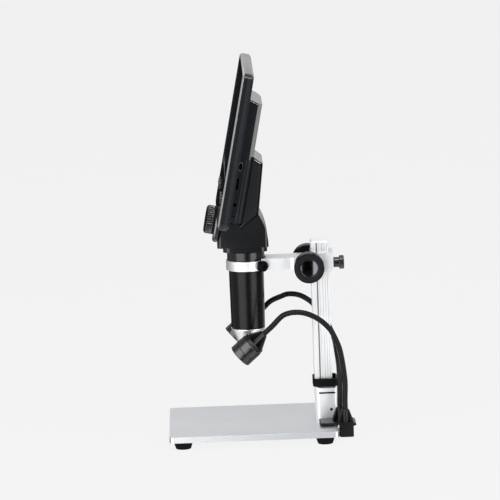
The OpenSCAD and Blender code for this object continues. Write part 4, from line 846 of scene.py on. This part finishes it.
def make_world():
    """Dim room, and a bright backdrop on the far side that the tops of the object mirror."""
    bpy.context.scene.view_settings.view_transform = "Standard"
    world = bpy.data.worlds.new("studio")
    bpy.context.scene.world = world
    world.use_nodes = True
    world.node_tree.nodes.clear()
    tree = world.node_tree
    way = add(tree, "ShaderNodeTexCoord").outputs["Generated"]
    parts = add(tree, "ShaderNodeSeparateXYZ", Vector=way)
    smooth = {"interpolation_type": "SMOOTHSTEP"}
    far_side = add(tree, "ShaderNodeMapRange", smooth, Value=parts.outputs[0], From_Min=-0.3,
                   From_Max=-0.8)
    # it reaches lower on the side of the post
    height = add(tree, "ShaderNodeMath", {"operation": "MULTIPLY_ADD"}, _0=parts.outputs[1], _1=0.7,
                 _2=parts.outputs[2])
    above = add(tree, "ShaderNodeMapRange", smooth, Value=height.outputs[0], From_Min=-0.06,
                From_Max=0.06)
    below_top = add(tree, "ShaderNodeMapRange", smooth, Value=parts.outputs[2], From_Min=0.9,
                    From_Max=0.65)
    band = add(tree, "ShaderNodeMath", {"operation": "MULTIPLY"}, _0=above.outputs[0],
               _1=below_top.outputs[0])
    backdrop = add(tree, "ShaderNodeMath", {"operation": "MULTIPLY"}, _0=far_side.outputs[0],
                   _1=band.outputs[0])
    # the room is dim, and darker below the table top
    room = add(tree, "ShaderNodeMapRange", smooth, Value=parts.outputs[2], From_Min=-0.1, From_Max=0.3,
               To_Min=0.01, To_Max=0.08)
    bright = add(tree, "ShaderNodeMath", {"operation": "MULTIPLY_ADD"}, _0=backdrop.outputs[0],
                 _1=0.92, _2=room.outputs[0])
    # a white board under the table's edge for the nose cone, one beside it for the left edges
    under = add(tree, "ShaderNodeMapRange", smooth, Value=parts.outputs[2], From_Min=-0.5,
                From_Max=-0.75, To_Max=1.1)
    beside = add(tree, "ShaderNodeMapRange", smooth, Value=parts.outputs[1], From_Min=-0.6,
                 From_Max=-0.88, To_Max=0.5)
    boards = add(tree, "ShaderNodeMath", {"operation": "ADD"}, _0=under.outputs[0],
                 _1=beside.outputs[0])
    light = add(tree, "ShaderNodeMath", {"operation": "ADD"}, _0=bright.outputs[0],
                _1=boards.outputs[0])
    background = add(tree, "ShaderNodeBackground", Color=(1, 1, 1, 1), Strength=light.outputs[0])
    add(tree, "ShaderNodeOutputWorld", Surface=background.outputs[0])


def studio_piece(name, points, faces, material):
    """A piece of the studio, which gloss and shadows pass by."""
    mesh = bpy.data.meshes.new(name)
    mesh.from_pydata(points, [], faces)
    mesh.materials.append(material)
    piece = bpy.data.objects.new(name, mesh)
    bpy.context.scene.collection.objects.link(piece)
    piece.visible_glossy = False
    piece.visible_shadow = False
    return piece


def make_floor():
    """Pale floor, and far behind it a pale round wall with a lid that lights nothing."""
    paper, tree = new_material("pale_paper")
    # paper fibres are far finer than this; soft clouds a decimetre across keep it from being flat
    place = add(tree, "ShaderNodeTexCoord").outputs["Object"]
    cloud = add(tree, "ShaderNodeTexNoise", Vector=place, Scale=8.0, Detail=2.0)
    tone = add(tree, "ShaderNodeMix", COLOUR, Factor=cloud.outputs[0], _6=srgb("#F1F1F1"),
               _7=srgb("#F2F2F2"))
    glow = add(tree, "ShaderNodeEmission", Color=tone.outputs[2], Strength=0.98)
    matte = add(tree, "ShaderNodeBsdfDiffuse", Color=srgb("#2C2C2C"))
    both = add(tree, "ShaderNodeAddShader", _0=glow.outputs[0], _1=matte.outputs[0])
    add(tree, "ShaderNodeOutputMaterial", Surface=both.outputs[0])
    wall_paint, tree = new_material("pale_wall")
    glow = add(tree, "ShaderNodeEmission", Color=srgb("#F2F2F2"), Strength=1.0)
    add(tree, "ShaderNodeOutputMaterial", Surface=glow.outputs[0])
    # metres
    reach, wall_bottom, wall_top = 12.0, -1, 9
    count = 48
    around = [(reach * math.cos(a), reach * math.sin(a))
              for a in (2 * math.pi * k / count for k in range(count))]
    floor = studio_piece("floor", [(x, y, 0) for x, y in around], [list(range(count))], paper)
    faces = [(k, (k + 1) % count, (k + 1) % count + count, k + count) for k in range(count)]
    lid = list(range(count, 2 * count))
    points = [(x, y, z) for z in (wall_bottom, wall_top) for x, y in around]
    wall = studio_piece("wall", points, faces + [lid], wall_paint)
    wall.visible_diffuse = False


make_camera()
make_world()
make_floor()
softbox("left_softbox", azimuth=-34.5, elevation=5, width=1.72, height=3.2, power=58)
softbox("right_softbox", azimuth=46.5, elevation=5, width=1.28, height=3.2, power=50)
softbox("top_softbox", azimuth=180, elevation=80, width=1.6, height=1.6, power=8)
softbox("top_strip", azimuth=0, elevation=64, width=2.0, height=0.16, power=22)

dress_nodes()
coarse_knob(-1, "focus_knob_left")
coarse_knob(1, "focus_knob_right")
fine_wheel()
rear_thumbscrew()
ring_thumbscrew()
barrel()
window()
housing_seams()
jack_rim()
lamp_head(LAMP_FRONT_RIGHT, 1, "right")
lamp_head(LAMP_FRONT_LEFT, -1, "left")
gooseneck("right", ROUTE_RIGHT, LAMP_FRONT_RIGHT, 1, STATIONS_RIGHT)
gooseneck("left", ROUTE_LEFT, LAMP_FRONT_LEFT, -1, STATIONS_LEFT)
